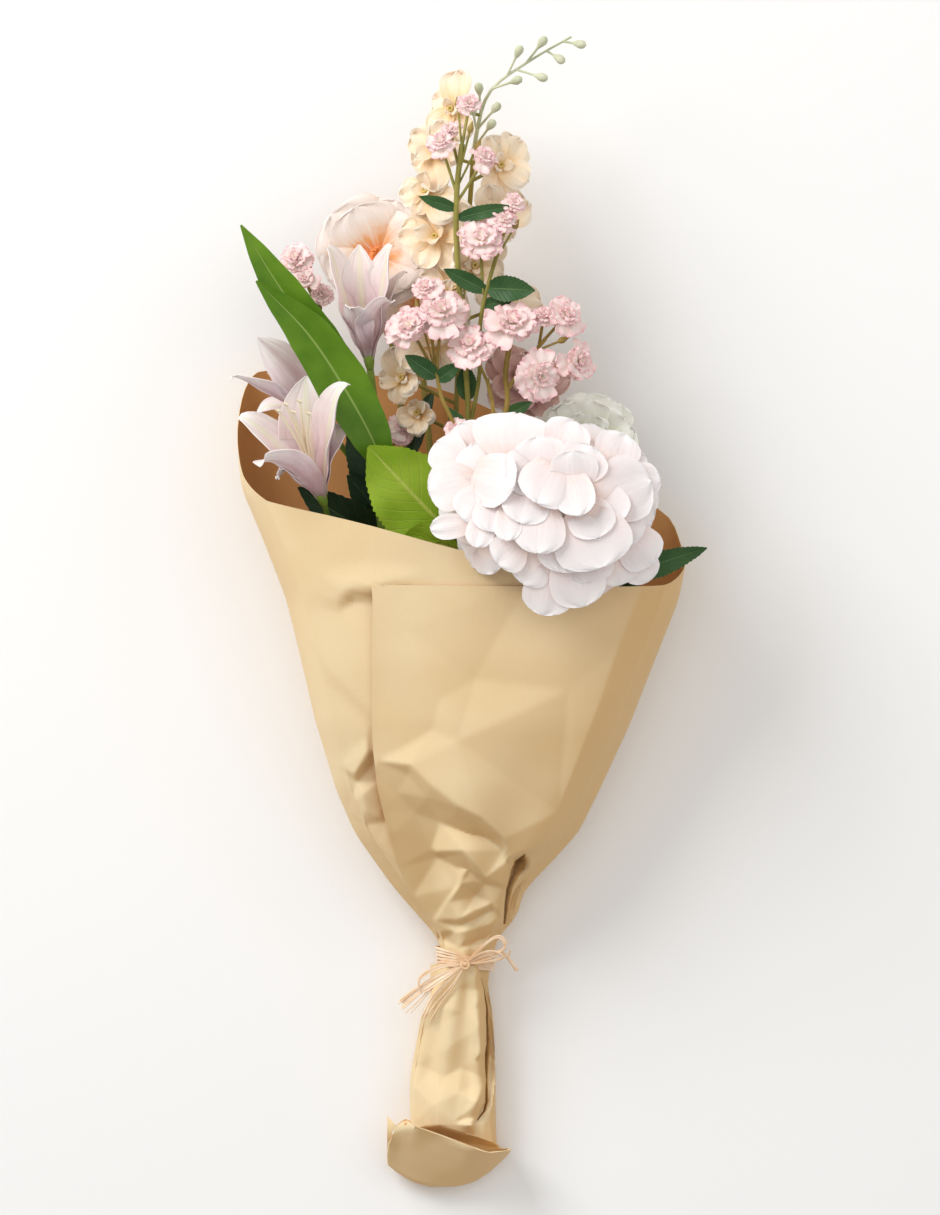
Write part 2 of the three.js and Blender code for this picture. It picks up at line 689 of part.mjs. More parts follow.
// Two open peach blooms with a low heart
const poppies = {
  large: {
    base: [-59.5, 227, 46],
    axis: [-0.05, 0.3, 0.95],
    radius: 38,
    slot: 'largePoppy',
    low: [-44, 120, 20],
  },
  small: {
    base: [-32.5, 190, 28],
    axis: [0.1, 0.3, 0.95],
    radius: 29,
    slot: 'smallPoppy',
    low: [-26, 100, 17],
  },
}

function poppyBloom(name, { base, axis, radius }) {
  return nestedBloom(name, {
    base,
    axis,
    heart: [[0, 0], [2.8, 0], [6, 6], [9, 13], [6, 17], [0, 17]],
    bowls: [
      { middle: 5, rings: [[radius * 0.5, 9], [radius, 16]], lobes: 6, steps: 3, notch: 0.2, ripple: 1.5 },
    ],
  })
}

function poppyStem(name, { base, axis, slot, low }) {
  return fuse(name, [stem(fromNeck(slot, [low, ...reach(base, axis, 13)]), stemRadius, 10)])
}

// Delphinium: florets on short stalks, and buds at the tip
const delphiniumAxis = [
  [-12, -60, 36], [-10, 60, 43], [-9, 130, 47], [-5, 200, 53], [0, 265, 60], [4.5, 310, 67], [13, 336, 74],
  [39, 355.6, 82], [66, 371, 86],
]
// Each floret: [x, y, z, radius]
const spikeFlorets = [
  [19, 287, 84, 21], [-11, 324, 84, 17], [-22, 297, 82, 18], [-28, 271, 82, 20], [-22, 241, 84, 20],
  [14, 252, 86, 20], [3, 222, 88, 18], [20, 196, 84, 18], [-16, 205, 86, 18], [-24, 174, 80, 18],
  [-43, 149, 74, 17], [-33, 126, 68, 14],
]
// Each bud: [x, y, z, y of the axis where its stalk leaves]
const spikeBuds = [
  [13, 313, 82, 300], [16, 324, 84, 312], [2, 322, 86, 310], [6, 336, 84, 322], [29, 342, 88, 338],
  [31, 360, 88, 346], [45, 345, 88, 350], [46, 366, 90, 354], [57, 357, 90, 362], [70, 366, 92, 368],
]

function delphiniumSpike() {
  const path = fromNeck('delphinium', delphiniumAxis)
  const steps = 18
  const line = new THREE.CatmullRomCurve3(path.map(point), false, 'centripetal').getSpacedPoints(steps)
  const onAxisAt = (y) => new THREE.Vector3(
    along(line.map((place) => [place.y, place.x]), y),
    y,
    along(line.map((place) => [place.y, place.z]), y),
  )
  const pieces = [stem(path, 2, steps)]
  spikeFlorets.forEach(([x, y, z, radius]) => {
    const place = new THREE.Vector3(x, y, z)
    const root = onAxisAt(y - 0.4 * Math.abs(x + 3))
    pieces.push(onStalk({
      root,
      place,
      looks: leaning(root, place, 0.4),
      stalk: 1.3,
      profile: [[1.3, -5], [radius, 2.6, 0.3], [radius, 3.4, 0.3]],
      lobes: 5,
      steps: 2,
      top: 0.4,
    }))
  })
  spikeBuds.forEach(([x, y, z, rootY]) => {
    const place = new THREE.Vector3(x, y, z)
    const root = onAxisAt(rootY)
    const looks = place.clone().sub(root)
    const profile = [[0.9, -3.4], [2.4, 0.6]]
    pieces.push(onStalk({ root, place, looks, stalk: 0.8, profile, lobes: 4, steps: 1, top: 3.8 }))
  })
  return fuse('delphinium_spike', pieces)
}

// Small double roses of the sprays on their stalks, each [x, y, z, diameter, root x, root y, root z]
function sprayRose([x, y, z, size, ...stalkRoot]) {
  const [root, place] = [point(stalkRoot), new THREE.Vector3(x, y, z)]
  return onStalk({
    root,
    place,
    looks: leaning(root, place, 0.6),
    stalk: 1.1,
    profile: [
      [1.2, -0.4 * size],
      [0.5 * size, -petalThickness / 2, 0.25],
      [0.5 * size, petalThickness / 2, 0.25],
      [0.3 * size, 0.16 * size, 0.3],
    ],
    lobes: size > 19 ? 5 : 4,
    steps: 2,
    top: 0.08 * size,
  })
}

// Pointed buds of the sprays on their stalks, each [x, y, z, root x, root y, root z]
function roseBud([x, y, z, ...stalkRoot]) {
  const [root, place] = [point(stalkRoot), new THREE.Vector3(x, y, z)]
  const looks = place.clone().sub(root)
  const profile = [[0.9, -3.4], [2, -0.8]]
  return onStalk({ root, place, looks, stalk: 0.8, profile, lobes: 4, steps: 1, top: 5 })
}

const sprays = {
  spray_rose_tall: {
    slot: 'tallSpray',
    path: [
      [-1, -40, 50], [-4, 60, 72], [-1, 121, 88], [-5.6, 190, 98], [-9, 245, 106], [-8, 277, 108],
      [-5, 300, 109.5],
    ],
    branches: [[[-1, 112, 86], [6, 150, 93], [7, 187, 102], [12.6, 212, 105], [20, 236, 108]]],
    flowers: [
      [-0.3, 326, 111, 16, -5.3, 298, 109.4], [-19, 301, 112, 16, -8.6, 268, 107.6],
      [-13, 309, 106, 12, -7, 284, 108.5], [10, 291, 112, 16, -8.6, 262, 107.2],
      [6.7, 238, 114, 27, 8.5, 203, 104.3], [23, 251, 110, 16, 18.5, 233, 107.6],
      [29, 262, 107, 13, 19.5, 235, 107.8],
    ],
    buds: [
      [-8, 326, 108, -5.3, 298, 109.4], [0.4, 310, 114, -8, 277, 108], [5, 299, 108, -8.3, 272, 107.8],
      [29.4, 247, 110, 16, 224, 106.4],
    ],
    leaves: [
      [[-8.6, 258, 107], [-33, 266, 110], 4.5], [[-8.8, 252, 106.5], [26.5, 260, 110], 5],
      [[10.5, 205, 104], [-17, 219, 109], 6], [[10.8, 207, 104.3], [42, 205, 113], 9],
      [[8, 196, 103], [27, 198, 103], 5], [[-1.6, 134, 89.5], [-3, 158, 84], 7],
    ],
  },
  spray_rose_front: {
    slot: 'frontSpray',
    path: [[0, -40, 62], [2, 50, 82], [6, 92, 98], [24, 130, 105], [23, 151, 108], [26, 172, 110]],
    branches: [
      [[5, 86, 96], [-12.4, 123, 104], [-18.7, 137, 106], [-21.5, 152, 108]],
      [[10, 101, 100], [15, 126, 106], [11, 148, 112]],
      [[23.7, 140, 106.7], [35, 157, 108], [49, 174, 110]],
    ],
    flowers: [
      [-38.6, 181, 119, 26, -21.5, 150, 107.6], [-19, 191, 117, 28, -21.5, 151, 108],
      [-29, 207, 109, 16, -21.5, 150, 107.8], [0.2, 170, 119, 25, 11.3, 146, 111.5],
      [27, 184, 115, 29, 24.5, 163, 109.3], [46, 149, 124, 27, 32, 152, 107.6],
      [70.3, 159, 112, 24, 30, 149, 107.5], [62.4, 189, 113, 22, 46, 171, 109.6],
      [48, 189, 109, 15, 44.5, 168, 109.3], [-10, 116, 104, 13, 7, 95, 98.5],
    ],
    buds: [[-34, 195, 112, -21.5, 149, 107.5], [60, 173, 111, 43, 166, 109.2]],
    leaves: [
      [[-21.3, 149, 107.5], [-42, 163, 112], 6.5], [[-21.3, 147, 107.5], [-7, 157, 111], 5.5],
      [[8, 97, 99], [-15, 130, 97], 7], [[20, 122, 103], [40, 133, 106], 5],
    ],
  },
  spray_rose_far_left: {
    slot: 'farSpray',
    path: [[-30, -60, 40], [-64, 60, 38], [-84, 150, 36], [-98, 190, 56], [-103.5, 206, 68]],
    branches: [],
    flowers: [
      [-114, 227, 74, 20, -102, 202, 65], [-108, 214, 80, 13, -100, 196, 60],
      [-97, 204, 72, 14, -98, 189, 55], [-45.5, 116, 60, 17, -66, 72, 38],
    ],
    buds: [[-104, 226, 72, -103, 204, 66.6]],
    leaves: [[[-90, 168, 44], [-112, 190, 50], 8]],
  },
}

function spray(name, { slot, path, branches, flowers, buds, leaves }) {
  return fuse(name, [
    stem(fromNeck(slot, path), slimStemRadius, 12),
    ...branches.map((branch) => stem(branch, 1.4, 4, 4)),
    ...flowers.map(sprayRose),
    ...buds.map(roseBud),
    ...leaves.map(([base, tip, half]) => serratedLeaf(base, tip, half, [0, 0, 1], 4, 1)),
  ])
}

// Dusty pink bloom behind the front spray
const dustyPinkBase = [34, 142, 46]
const dustyPinkAxis = [0.12, 0.35, 0.93]

function dustyPinkBloom() {
  return nestedBloom('dusty_pink_bloom', {
    base: dustyPinkBase,
    axis: dustyPinkAxis,
    heart: [[0, 0], [2.8, 0], [6, 8], [6, 20], [0, 27]],
    bowls: [
      { middle: 4, rings: [[15, 9], [29, 19]], lobes: 6, steps: 3, notch: 0.25, ripple: 1.2 },
      { middle: 9, rings: [[11, 18], [17, 31]], lobes: 5, steps: 2, notch: 0.2, turn: 0.5 },
    ],
  })
}

function dustyPinkStem() {
  return fuse('dusty_pink_stem', [
    stem(fromNeck('dustyPink', [
      [14, -60, 20],
      [28, 70, 24],
      ...reach(dustyPinkBase, dustyPinkAxis, 13),
    ]), slimStemRadius, 10),
  ])
}

// Dark leaves between the lily and the hydrangea
function darkFoliage() {
  return fuse('dark_foliage', [
    stem(fromNeck('foliage', [
      [-20, -80, 40], [-38, 20, 50], [-43, 60, 53], [-37, 100, 51],
    ]), slimStemRadius, 10),
    serratedLeaf([-41, 40, 51], [-80, 86, 73], 12, [0.2, -0.3, 1], 7),
    serratedLeaf([-40, 32, 51], [-112, 78, 77], 15, [0.1, -0.4, 1], 7),
    serratedLeaf([-43, 56, 53], [-36, 96, 72], 12, [-0.3, -0.2, 1], 6),
    serratedLeaf([-43, 60, 53], [-60, 112, 66], 11, [-0.2, -0.3, 1], 6),
    blade({
      path: [[-38, 97, 51], [-33, 120, 45], [-24, 142, 38]],
      widths: [[0, 3], [0.5, 7.5], [1, 2]],
      facing: [[-0.5, 0.3, 1]],
      rows: 4,
      cup: 0.3,
      thickness: leafThickness,
    }),
  ])
}

// Colours and finishes
const finish = (color, roughness) => new THREE.MeshStandardMaterial({ color, roughness, metalness: 0 })
const kraft = finish('#e9d0a4', 0.62)
const straw = finish('#e8c9a0', 0.7)
const whitePink = finish('#f2e6e6', 0.75)
const whiteGreen = finish('#eef0e2', 0.75)
const lilyPink = finish('#ead6d8', 0.6)
const peach = finish('#f6dcc6', 0.75)
const cream = finish('#f2e2c2', 0.75)
const rosePink = finish('#f0b9bd', 0.75)
const dustyPink = finish('#dba9a3', 0.75)
const brightGreen = finish('#5f8f2a', 0.5)
const limeGreen = finish('#8fbf3c', 0.5)
const darkGreen = finish('#2f4a35', 0.55)
const stemGreen = finish('#8c8a3c', 0.55)

const parts = [
  ['wrapper', wrapper(), kraft],
  ['raffia_tie', raffiaTie(), straw],
  ['hydrangea_head', hydrangeaHead(), whitePink],
  ['hydrangea_stem', hydrangeaStem(), limeGreen],
  ['white_rose_bloom', whiteRoseBloom(), whiteGreen],
  ['white_rose_stem', whiteRoseStem(), darkGreen],
  ['lily_bloom_front', lilyBloom('lily_bloom_front', lilies.front), lilyPink],
  ['lily_bloom_middle', lilyBloom('lily_bloom_middle', lilies.middle), lilyPink],
  ['lily_bloom_upper', lilyBloom('lily_bloom_upper', lilies.upper), lilyPink],
  ['lily_stem', lilyStem(), brightGreen],
  ['poppy_bloom_large', poppyBloom('poppy_bloom_large', poppies.large), peach],
  ['poppy_stem_large', poppyStem('poppy_stem_large', poppies.large), stemGreen],
  ['poppy_bloom_small', poppyBloom('poppy_bloom_small', poppies.small), peach],
  ['poppy_stem_small', poppyStem('poppy_stem_small', poppies.small), stemGreen],
  ['delphinium_spike', delphiniumSpike(), cream],
  ...Object.entries(sprays).map(([name, details]) => [name, spray(name, details), rosePink]),
  ['dusty_pink_bloom', dustyPinkBloom(), dustyPink],
  ['dusty_pink_stem', dustyPinkStem(), stemGreen],
  ['dark_foliage', darkFoliage(), darkGreen],
]

const bouquet = new THREE.Group()
for (const [name, geometry, material] of parts) {
  const mesh = new THREE.Mesh(geometry, material)
  mesh.name = name
  bouquet.add(mesh)
}

// It is modelled round the middle of its mouth, and moved so that its box is centred over the origin
const box = new THREE.Box3().setFromObject(bouquet)
const middle = box.getCenter(new THREE.Vector3())
bouquet.position.set(-middle.x, -middle.y, -box.min.z)

export default bouquet
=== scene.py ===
import bpy
import math
import numpy as np
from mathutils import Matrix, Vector
from mathutils.geometry import delaunay_2d_cdt


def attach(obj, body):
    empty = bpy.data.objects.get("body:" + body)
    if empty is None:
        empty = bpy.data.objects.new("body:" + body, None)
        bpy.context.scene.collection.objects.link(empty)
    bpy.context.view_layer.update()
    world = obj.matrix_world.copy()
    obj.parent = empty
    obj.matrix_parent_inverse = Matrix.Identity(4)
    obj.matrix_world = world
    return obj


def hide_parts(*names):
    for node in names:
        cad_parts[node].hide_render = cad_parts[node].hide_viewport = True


# Mixed flower bouquet in a rolled paper wrapper, lying on its back and seen from above.
# Lengths are millimetres in the frame of the CAD source, and become metres when a mesh is made.

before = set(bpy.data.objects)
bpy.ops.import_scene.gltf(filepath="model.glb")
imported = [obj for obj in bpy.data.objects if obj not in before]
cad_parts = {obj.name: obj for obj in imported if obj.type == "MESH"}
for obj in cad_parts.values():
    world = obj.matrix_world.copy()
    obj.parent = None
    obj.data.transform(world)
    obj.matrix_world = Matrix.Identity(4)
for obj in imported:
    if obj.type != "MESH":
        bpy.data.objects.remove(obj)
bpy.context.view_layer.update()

# The CAD source moves its finished model so that its box is centred over the origin
ORIGIN_SHIFT = np.array([-0.095, 3.179, 0.0])
MILLIMETRE = 0.001
rng = np.random.default_rng(7)


# Vectors, tables and curves

def unit(vector):
    vector = np.asarray(vector, float)
    return vector / np.linalg.norm(vector)


def units(vectors):
    """Each row as a unit vector."""
    return vectors / np.linalg.norm(vectors, axis=1)[:, None]


def smooth(t):
    t = np.clip(t, 0.0, 1.0)
    return t * t * (3 - 2 * t)


def along(table, key):
    keys, values = zip(*table)
    return np.interp(key, keys, values)


def softly(table, key, reach):
    """The table's value, averaged over some places round the key so that its corners are round."""
    return sum(along(table, key + step * reach) for step in (-1.5, -0.75, 0, 0.75, 1.5)) / 5


def frame_on(axis, roll=0.0):
    """Three unit vectors with the third along the axis."""
    up = unit(axis)
    side = np.array([1.0, 0, 0]) if abs(up[1]) > 0.9 else np.array([0, 1.0, 0])
    x = unit(np.cross(side, up))
    y = np.cross(up, x)
    return (x * math.cos(roll) + y * math.sin(roll), y * math.cos(roll) - x * math.sin(roll), up)


def around(axes, angle):
    """A unit vector square to the third axis, turned about it."""
    return axes[0] * math.cos(angle) + axes[1] * math.sin(angle)


def curve_through(points, count):
    """Points at even steps along a centripetal Catmull-Rom curve."""
    p = np.asarray(points, float)
    p = np.vstack([2 * p[0] - p[1], p, 2 * p[-1] - p[-2]])
    fine = []
    for i in range(1, len(p) - 2):
        d0, d1, d2 = (max(math.sqrt(np.linalg.norm(p[k + 1] - p[k])), 1e-4) for k in (i - 1, i, i + 1))
        m1 = ((p[i] - p[i - 1]) / d0 - (p[i + 1] - p[i - 1]) / (d0 + d1) + (p[i + 1] - p[i]) / d1) * d1
        m2 = ((p[i + 1] - p[i]) / d1 - (p[i + 2] - p[i]) / (d1 + d2) + (p[i + 2] - p[i + 1]) / d2) * d1
        t = np.linspace(0, 1, 25)[:, None]
        fine.append(p[i] + m1 * t + (-3 * p[i] + 3 * p[i + 1] - 2 * m1 - m2) * t ** 2
                    + (2 * p[i] - 2 * p[i + 1] + m1 + m2) * t ** 3)
    fine = np.vstack(fine)
    steps = np.linalg.norm(np.diff(fine, axis=0), axis=1)
    length = np.concatenate([[0], np.cumsum(steps)])
    wanted = np.linspace(0, length[-1], count)
    return np.stack([np.interp(wanted, length, fine[:, k]) for k in range(3)], axis=1)


def bezier(start, control, end, count):
    t = np.linspace(0, 1, count)[:, None]
    start, control, end = (np.asarray(place, float) for place in (start, control, end))
    return start * (1 - t) ** 2 + control * 2 * t * (1 - t) + end * t ** 2


# Meshes

# The first corner of each tube lies square to this direction
OFF_AXIS = (0.31, 0.17, 0.93)
SHARP_ANGLE = 50


def linked(name, data):
    """A new object in the scene."""
    made = bpy.data.objects.new(name, data)
    bpy.context.scene.collection.objects.link(made)
    return made


class Shape:
    """Collects the sheets and tubes of one piece."""

    def __init__(self):
        self.places = []
        self.coords = []
        self.faces = []
        self.slots = []
        self.count = 0

    def add(self, places, coords, faces, slots):
        base = self.count
        self.places.append(np.asarray(places, float).reshape(-1, 3))
        self.coords.append(np.asarray(coords, float).reshape(-1, 2))
        self.faces += [tuple(base + corner for corner in face) for face in faces]
        self.slots += slots
        self.count += len(self.places[-1])

    def between(self, top, under, slot=0, under_slot=None):
        """A closed sheet between two grids of points."""
        rows, columns = top.shape[:2]
        total = rows * columns
        v, u = np.meshgrid(np.linspace(0, 1, rows), np.linspace(0, 1, columns), indexing="ij")
        coords = np.stack([u, v], axis=-1)
        at = lambda i, j: i * columns + j
        faces = []
        for i in range(rows - 1):
            for j in range(columns - 1):
                faces.append((at(i, j), at(i, j + 1), at(i + 1, j + 1), at(i + 1, j)))
        fronts = len(faces)
        faces += [tuple(total + corner for corner in reversed(face)) for face in faces[:fronts]]
        edge = [(at(i, 0), at(i + 1, 0)) for i in range(rows - 1)]
        edge += [(at(i + 1, columns - 1), at(i, columns - 1)) for i in range(rows - 1)]
        edge += [(at(0, j + 1), at(0, j)) for j in range(columns - 1)]
        edge += [(at(rows - 1, j), at(rows - 1, j + 1)) for j in range(columns - 1)]
        faces += [(a, b, b + total, a + total) for a, b in edge]
        back = slot if under_slot is None else under_slot
        self.add([top, under], [coords, coords], faces,
                 [slot] * fronts + [back] * fronts + [slot] * len(edge))

    def sheet(self, grid, thickness, slot=0, under_slot=None):
        """A closed sheet of even thickness round a grid of points."""
        normal = normals_of(grid)
        self.between(grid + normal * thickness / 2, grid - normal * thickness / 2, slot, under_slot)

    def tube(self, path, radii, sides=8, slot=0):
        """A round closed tube along a path, with a radius for each of its points."""
        path = np.asarray(path, float)
        radii = np.broadcast_to(np.asarray(radii, float), (len(path),))
        forward = units(np.gradient(path, axis=0))
        side = unit(np.cross(forward[0], OFF_AXIS))
        rings = []
        for place, ahead, radius in zip(path, forward, radii):
            side = unit(side - ahead * np.dot(side, ahead))
            other = np.cross(ahead, side)
            turn = np.arange(sides) * 2 * math.pi / sides
            rings.append(place + radius * (np.cos(turn)[:, None] * side + np.sin(turn)[:, None] * other))
        last = len(path) - 1
        faces = []
        for ring in range(0, last * sides, sides):
            for k in range(sides):
                after = (k + 1) % sides
                faces.append((ring + k, ring + after, ring + sides + after, ring + sides + k))
        faces.append(tuple(reversed(range(sides))))
        faces.append(tuple(last * sides + k for k in range(sides)))
        v, u = np.meshgrid(np.linspace(0, 1, last + 1), np.linspace(0, 1, sides), indexing="ij")
        self.add(rings, np.stack([u, v], axis=-1), faces, [slot] * len(faces))

    def build(self, name, materials, *nodes, record_slot=None):
        """Makes the Blender piece, which stands for its CAD nodes."""
        places = (np.concatenate(self.places) + ORIGIN_SHIFT) * MILLIMETRE
        mesh = bpy.data.meshes.new(name)
        mesh.from_pydata(places.tolist(), [], self.faces)
        for material in materials:
            mesh.materials.append(material)
        mesh.polygons.foreach_set("material_index", self.slots)
        layer = mesh.uv_layers.new(name="Petal")
        corner_vertex = np.zeros(len(mesh.loops), int)
        mesh.loops.foreach_get("vertex_index", corner_vertex)
        layer.data.foreach_set("uv", np.concatenate(self.coords)[corner_vertex].ravel())
        mesh.polygons.foreach_set("use_smooth", [True] * len(mesh.polygons))
        mesh.update()
        mesh.set_sharp_from_angle(angle=math.radians(SHARP_ANGLE))
        piece = linked(name, mesh)
        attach(piece, "root")
        if nodes:
            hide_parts(*nodes)
        return piece


def normals_of(grid):
    normal = np.cross(np.gradient(grid, axis=1), np.gradient(grid, axis=0))
    return normal / np.maximum(np.linalg.norm(normal, axis=2), 1e-9)[:, :, None]


# Half width of a petal or leaf by the share of its length, as a share of its largest half width
ROUND = [(0, 0.16), (0.15, 0.42), (0.35, 0.78), (0.55, 0.97), (0.68, 1), (0.8, 0.93), (0.9, 0.72),
         (0.96, 0.48), (1, 0.12)]
BROAD = [(0, 0.2), (0.1, 0.45), (0.3, 0.8), (0.5, 0.97), (0.66, 1), (0.8, 0.93), (0.92, 0.68),
         (0.98, 0.36), (1, 0.1)]
FAN = [(0, 0.12), (0.2, 0.36), (0.45, 0.68), (0.7, 0.92), (0.84, 1), (0.93, 0.93), (0.975, 0.76), (1, 0.5)]
TEPAL = [(0, 0.22), (0.15, 0.38), (0.35, 0.78), (0.52, 1), (0.68, 0.93), (0.82, 0.68), (0.93, 0.34), (1, 0.03)]
LANCE = [(0, 0.16), (0.08, 0.4), (0.2, 0.75), (0.45, 1), (0.7, 0.8), (0.88, 0.42), (1, 0.04)]
OVATE = [(0, 0.1), (0.06, 0.5), (0.2, 0.85), (0.4, 1), (0.6, 0.9), (0.8, 0.6), (0.93, 0.25), (1, 0.04)]


def petal(shape, origin, out, up, length, width, outline, rows, columns, bend, cup, ruffle, waves, phase,
          thickness, frill=0.0):
    """A petal from its origin towards out. It bends towards up by the two angles in degrees, at its
    base and its tip. The cup lifts its edges, and the ruffle and frill wave them."""
    out, up = unit(out), unit(up)
    up = unit(up - out * np.dot(up, out))
    right = np.cross(out, up)
    share = 1 - (1 - np.linspace(0, 1, rows + 1)[:, None]) ** 1.5
    aside = np.linspace(-1, 1, columns + 1)
    angle = np.radians(bend[0] + (bend[1] - bend[0]) * share)
    ahead = np.cos(angle) * out + np.sin(angle) * up
    lift = np.cos(angle) * up - np.sin(angle) * out
    steps = np.diff(share, axis=0, prepend=0) * length
    centre = np.asarray(origin, float) + np.cumsum(ahead * steps, axis=0)
    half = along(outline, share) * width / 2
    wave = ruffle * np.sin(waves * math.pi * aside + phase + 2.2 * share)
    height = cup * half * aside ** 2 + wave * share ** 1.5
    reach = frill * length * np.cos(2.5 * waves * math.pi * aside + phase) * share ** 4
    grid = (centre[:, None] + (half * aside)[:, :, None] * right
            + height[:, :, None] * lift[:, None] + reach[:, :, None] * ahead[:, None])
    shape.sheet(grid, thickness)


def blade(shape, path, half, outline, facing, rows, columns, cup, teeth, ruffle, waves, rib,
          thickness=0.5, slot=0, under_slot=None):
    """A leaf or tepal along a curve, whose upper side looks at the first facing at its root and at the
    last one at its tip. Teeth cut every second row back, and the rib is a raised fold along its middle."""
    line = curve_through(path, rows + 1)
    forward = units(np.gradient(line, axis=0))
    share = np.linspace(0, 1, rows + 1)[:, None]
    aside = np.linspace(-1, 1, columns + 1)
    looks = np.asarray(facing[0], float) * (1 - share) + np.asarray(facing[-1], float) * share
    across = units(np.cross(forward, looks))
    normal = np.cross(across, forward)
    notched = (np.arange(rows + 1)[:, None] % 2 == 1) & (share < 0.98)
    width = along(outline, share) * half * np.where(notched, 1 - teeth, 1)
    swell = np.sin(math.pi * share)
    sway = np.sin(waves * 2 * math.pi * share + 1.2 * np.sign(aside))
    height = cup * width * aside ** 2 + ruffle * np.abs(aside) * sway * swell
    height = height - rib * np.exp(-(aside / 0.14) ** 2) * swell
    grid = (line[:, None] + (width * aside)[:, :, None] * across[:, None]
            + height[:, :, None] * normal[:, None])
    shape.sheet(grid, thickness, slot, under_slot)


# Materials

def linear(hex_color):
    value = [int(hex_color[k:k + 2], 16) / 255 for k in (1, 3, 5)]
    return [c / 12.92 if c <= 0.04045 else ((c + 0.055) / 1.055) ** 2.4 for c in value] + [1.0]


class Value:
    """A number in a material's node tree. Sums of it add the nodes that work them out."""

    def __init__(self, nodes, socket):
        self.nodes = nodes
        self.socket = socket

    def __add__(self, other):
        return self.nodes.maths("ADD", self, other)

    def __sub__(self, other):
        return self.nodes.maths("SUBTRACT", self, other)

    def __mul__(self, other):
        return self.nodes.maths("MULTIPLY", self, other)

    def __pow__(self, other):
        return self.nodes.maths("POWER", self, other)

    def __abs__(self):
        return self.nodes.maths("ABSOLUTE", self)


class Nodes:
    """A material's node tree, with short calls for its nodes and links."""

    def __init__(self, name, roughness, sheen=0.0, specular=0.3, subsurface=0.0):
        self.material = bpy.data.materials.new(name)
        self.material.use_nodes = True
        self.tree = self.material.node_tree
        self.shader = self.tree.nodes["Principled BSDF"]
        for key, value in {
            "Roughness": roughness, "Sheen Weight": sheen, "Specular IOR Level": specular,
            "Subsurface Weight": subsurface, "Subsurface Radius": (1.0, 0.8, 0.7), "Subsurface Scale": 0.004,
        }.items():
            self.shader.inputs[key].default_value = value
        self.uv = self.node("ShaderNodeUVMap", uv_map="Petal").outputs["UV"]

    def node(self, kind, **settings):
        node = self.tree.nodes.new(kind)
        for key, value in settings.items():
            setattr(node, key, value)
        return node

    def feed(self, socket, value):
        """Links a socket to a value of the tree, or sets it to a plain number or colour."""
        if isinstance(value, Value):
            value = value.socket
        if isinstance(value, bpy.types.NodeSocket):
            self.tree.links.new(value, socket)
        else:
            socket.default_value = value

    def maths(self, operation, *values):
        node = self.node("ShaderNodeMath", operation=operation)
        for socket, value in zip(node.inputs, values):
            self.feed(socket, value)
        return Value(self, node.outputs[0])

    def split(self):
        """The shares across and along a petal, leaf or sheet."""
        node = self.node("ShaderNodeSeparateXYZ")
        self.feed(node.inputs[0], self.uv)
        return Value(self, node.outputs[0]), Value(self, node.outputs[1])

    def noise(self, scale, detail, vector=None, stretch=(1, 1, 1)):
        node = self.node("ShaderNodeTexNoise")
        mapping = self.node("ShaderNodeMapping")
        if vector is None:
            vector = self.node("ShaderNodeTexCoord").outputs["Object"]
        self.feed(mapping.inputs["Vector"], vector)
        mapping.inputs["Scale"].default_value = stretch
        self.feed(node.inputs["Vector"], mapping.outputs[0])
        node.inputs["Scale"].default_value = scale
        node.inputs["Detail"].default_value = detail
        return Value(self, node.outputs["Fac"])

    def ramp(self, factor, *stops):
        node = self.node("ShaderNodeValToRGB")
        self.feed(node.inputs[0], factor)
        elements = node.color_ramp.elements
        while len(elements) < len(stops):
            elements.new(0.5)
        for element, (position, color) in zip(elements, stops):
            element.position = position
            element.color = linear(color) if isinstance(color, str) else (color, color, color, 1)
        return Value(self, node.outputs[0])

    def mix(self, factor, first, second):
        node = self.node("ShaderNodeMix", data_type="RGBA")
        self.feed(node.inputs["Factor"], factor)
        self.feed(node.inputs["A"], linear(first) if isinstance(first, str) else first)
        self.feed(node.inputs["B"], linear(second) if isinstance(second, str) else second)
        return node.outputs["Result"]

    def bump(self, height, distance, strength):
        node = self.node("ShaderNodeBump")
        self.feed(node.inputs["Height"], height)
        node.inputs["Distance"].default_value = distance
        node.inputs["Strength"].default_value = strength
        self.feed(self.shader.inputs["Normal"], node.outputs[0])

    def color(self, value):
        self.feed(self.shader.inputs["Base Color"], value)
        return self.material


def petal_material(name, stops, edge=None, streak="#ffffff", streaks=0.25, vein=26.0, blotch=None,
                   midrib=None):
    """Cloth petal: colours from base to tip, fine streaks along it, and a tinted edge, which on the hydrangea is a
    painted highlight along the rims.
    """
    n = Nodes(name, 0.7, sheen=0.15, specular=0.2, subsurface=0.25)
    u, v = n.split()
    out = abs(u * 2.0 - 1.0)
    uneven = n.noise(90.0, 3.0)
    color = n.ramp(v + (uneven - 0.5) * 0.35, *stops)
    fibres = n.noise(1.0, 4.0, n.uv, (vein, 1.6, 1))
    color = n.mix(n.ramp(fibres, (0.42, 0.0), (0.68, 1.0)) * streaks, color, streak)
    # The tinted edge; on the hydrangea its nearly white colour is a painted highlight.
    if edge:
        rim = n.maths("MAXIMUM", out ** 5.0, v ** 7.0) * (v * 0.8)
        color = n.mix(rim * (uneven * 0.9 + 0.2), color, edge)
    if midrib:
        color = n.mix(n.ramp(out, (0.03, 1.0), (0.3, 0.0)) * 0.55, color, midrib)
    if blotch:
        patch = n.ramp(n.noise(38.0, 2.0), (0.5, 0.0), (0.72, 1.0))
        color = n.mix(patch * 0.45, color, blotch)
    n.bump(fibres + n.noise(420.0, 2.0) * 0.35, 0.0006, 0.6)
    return n.color(color)


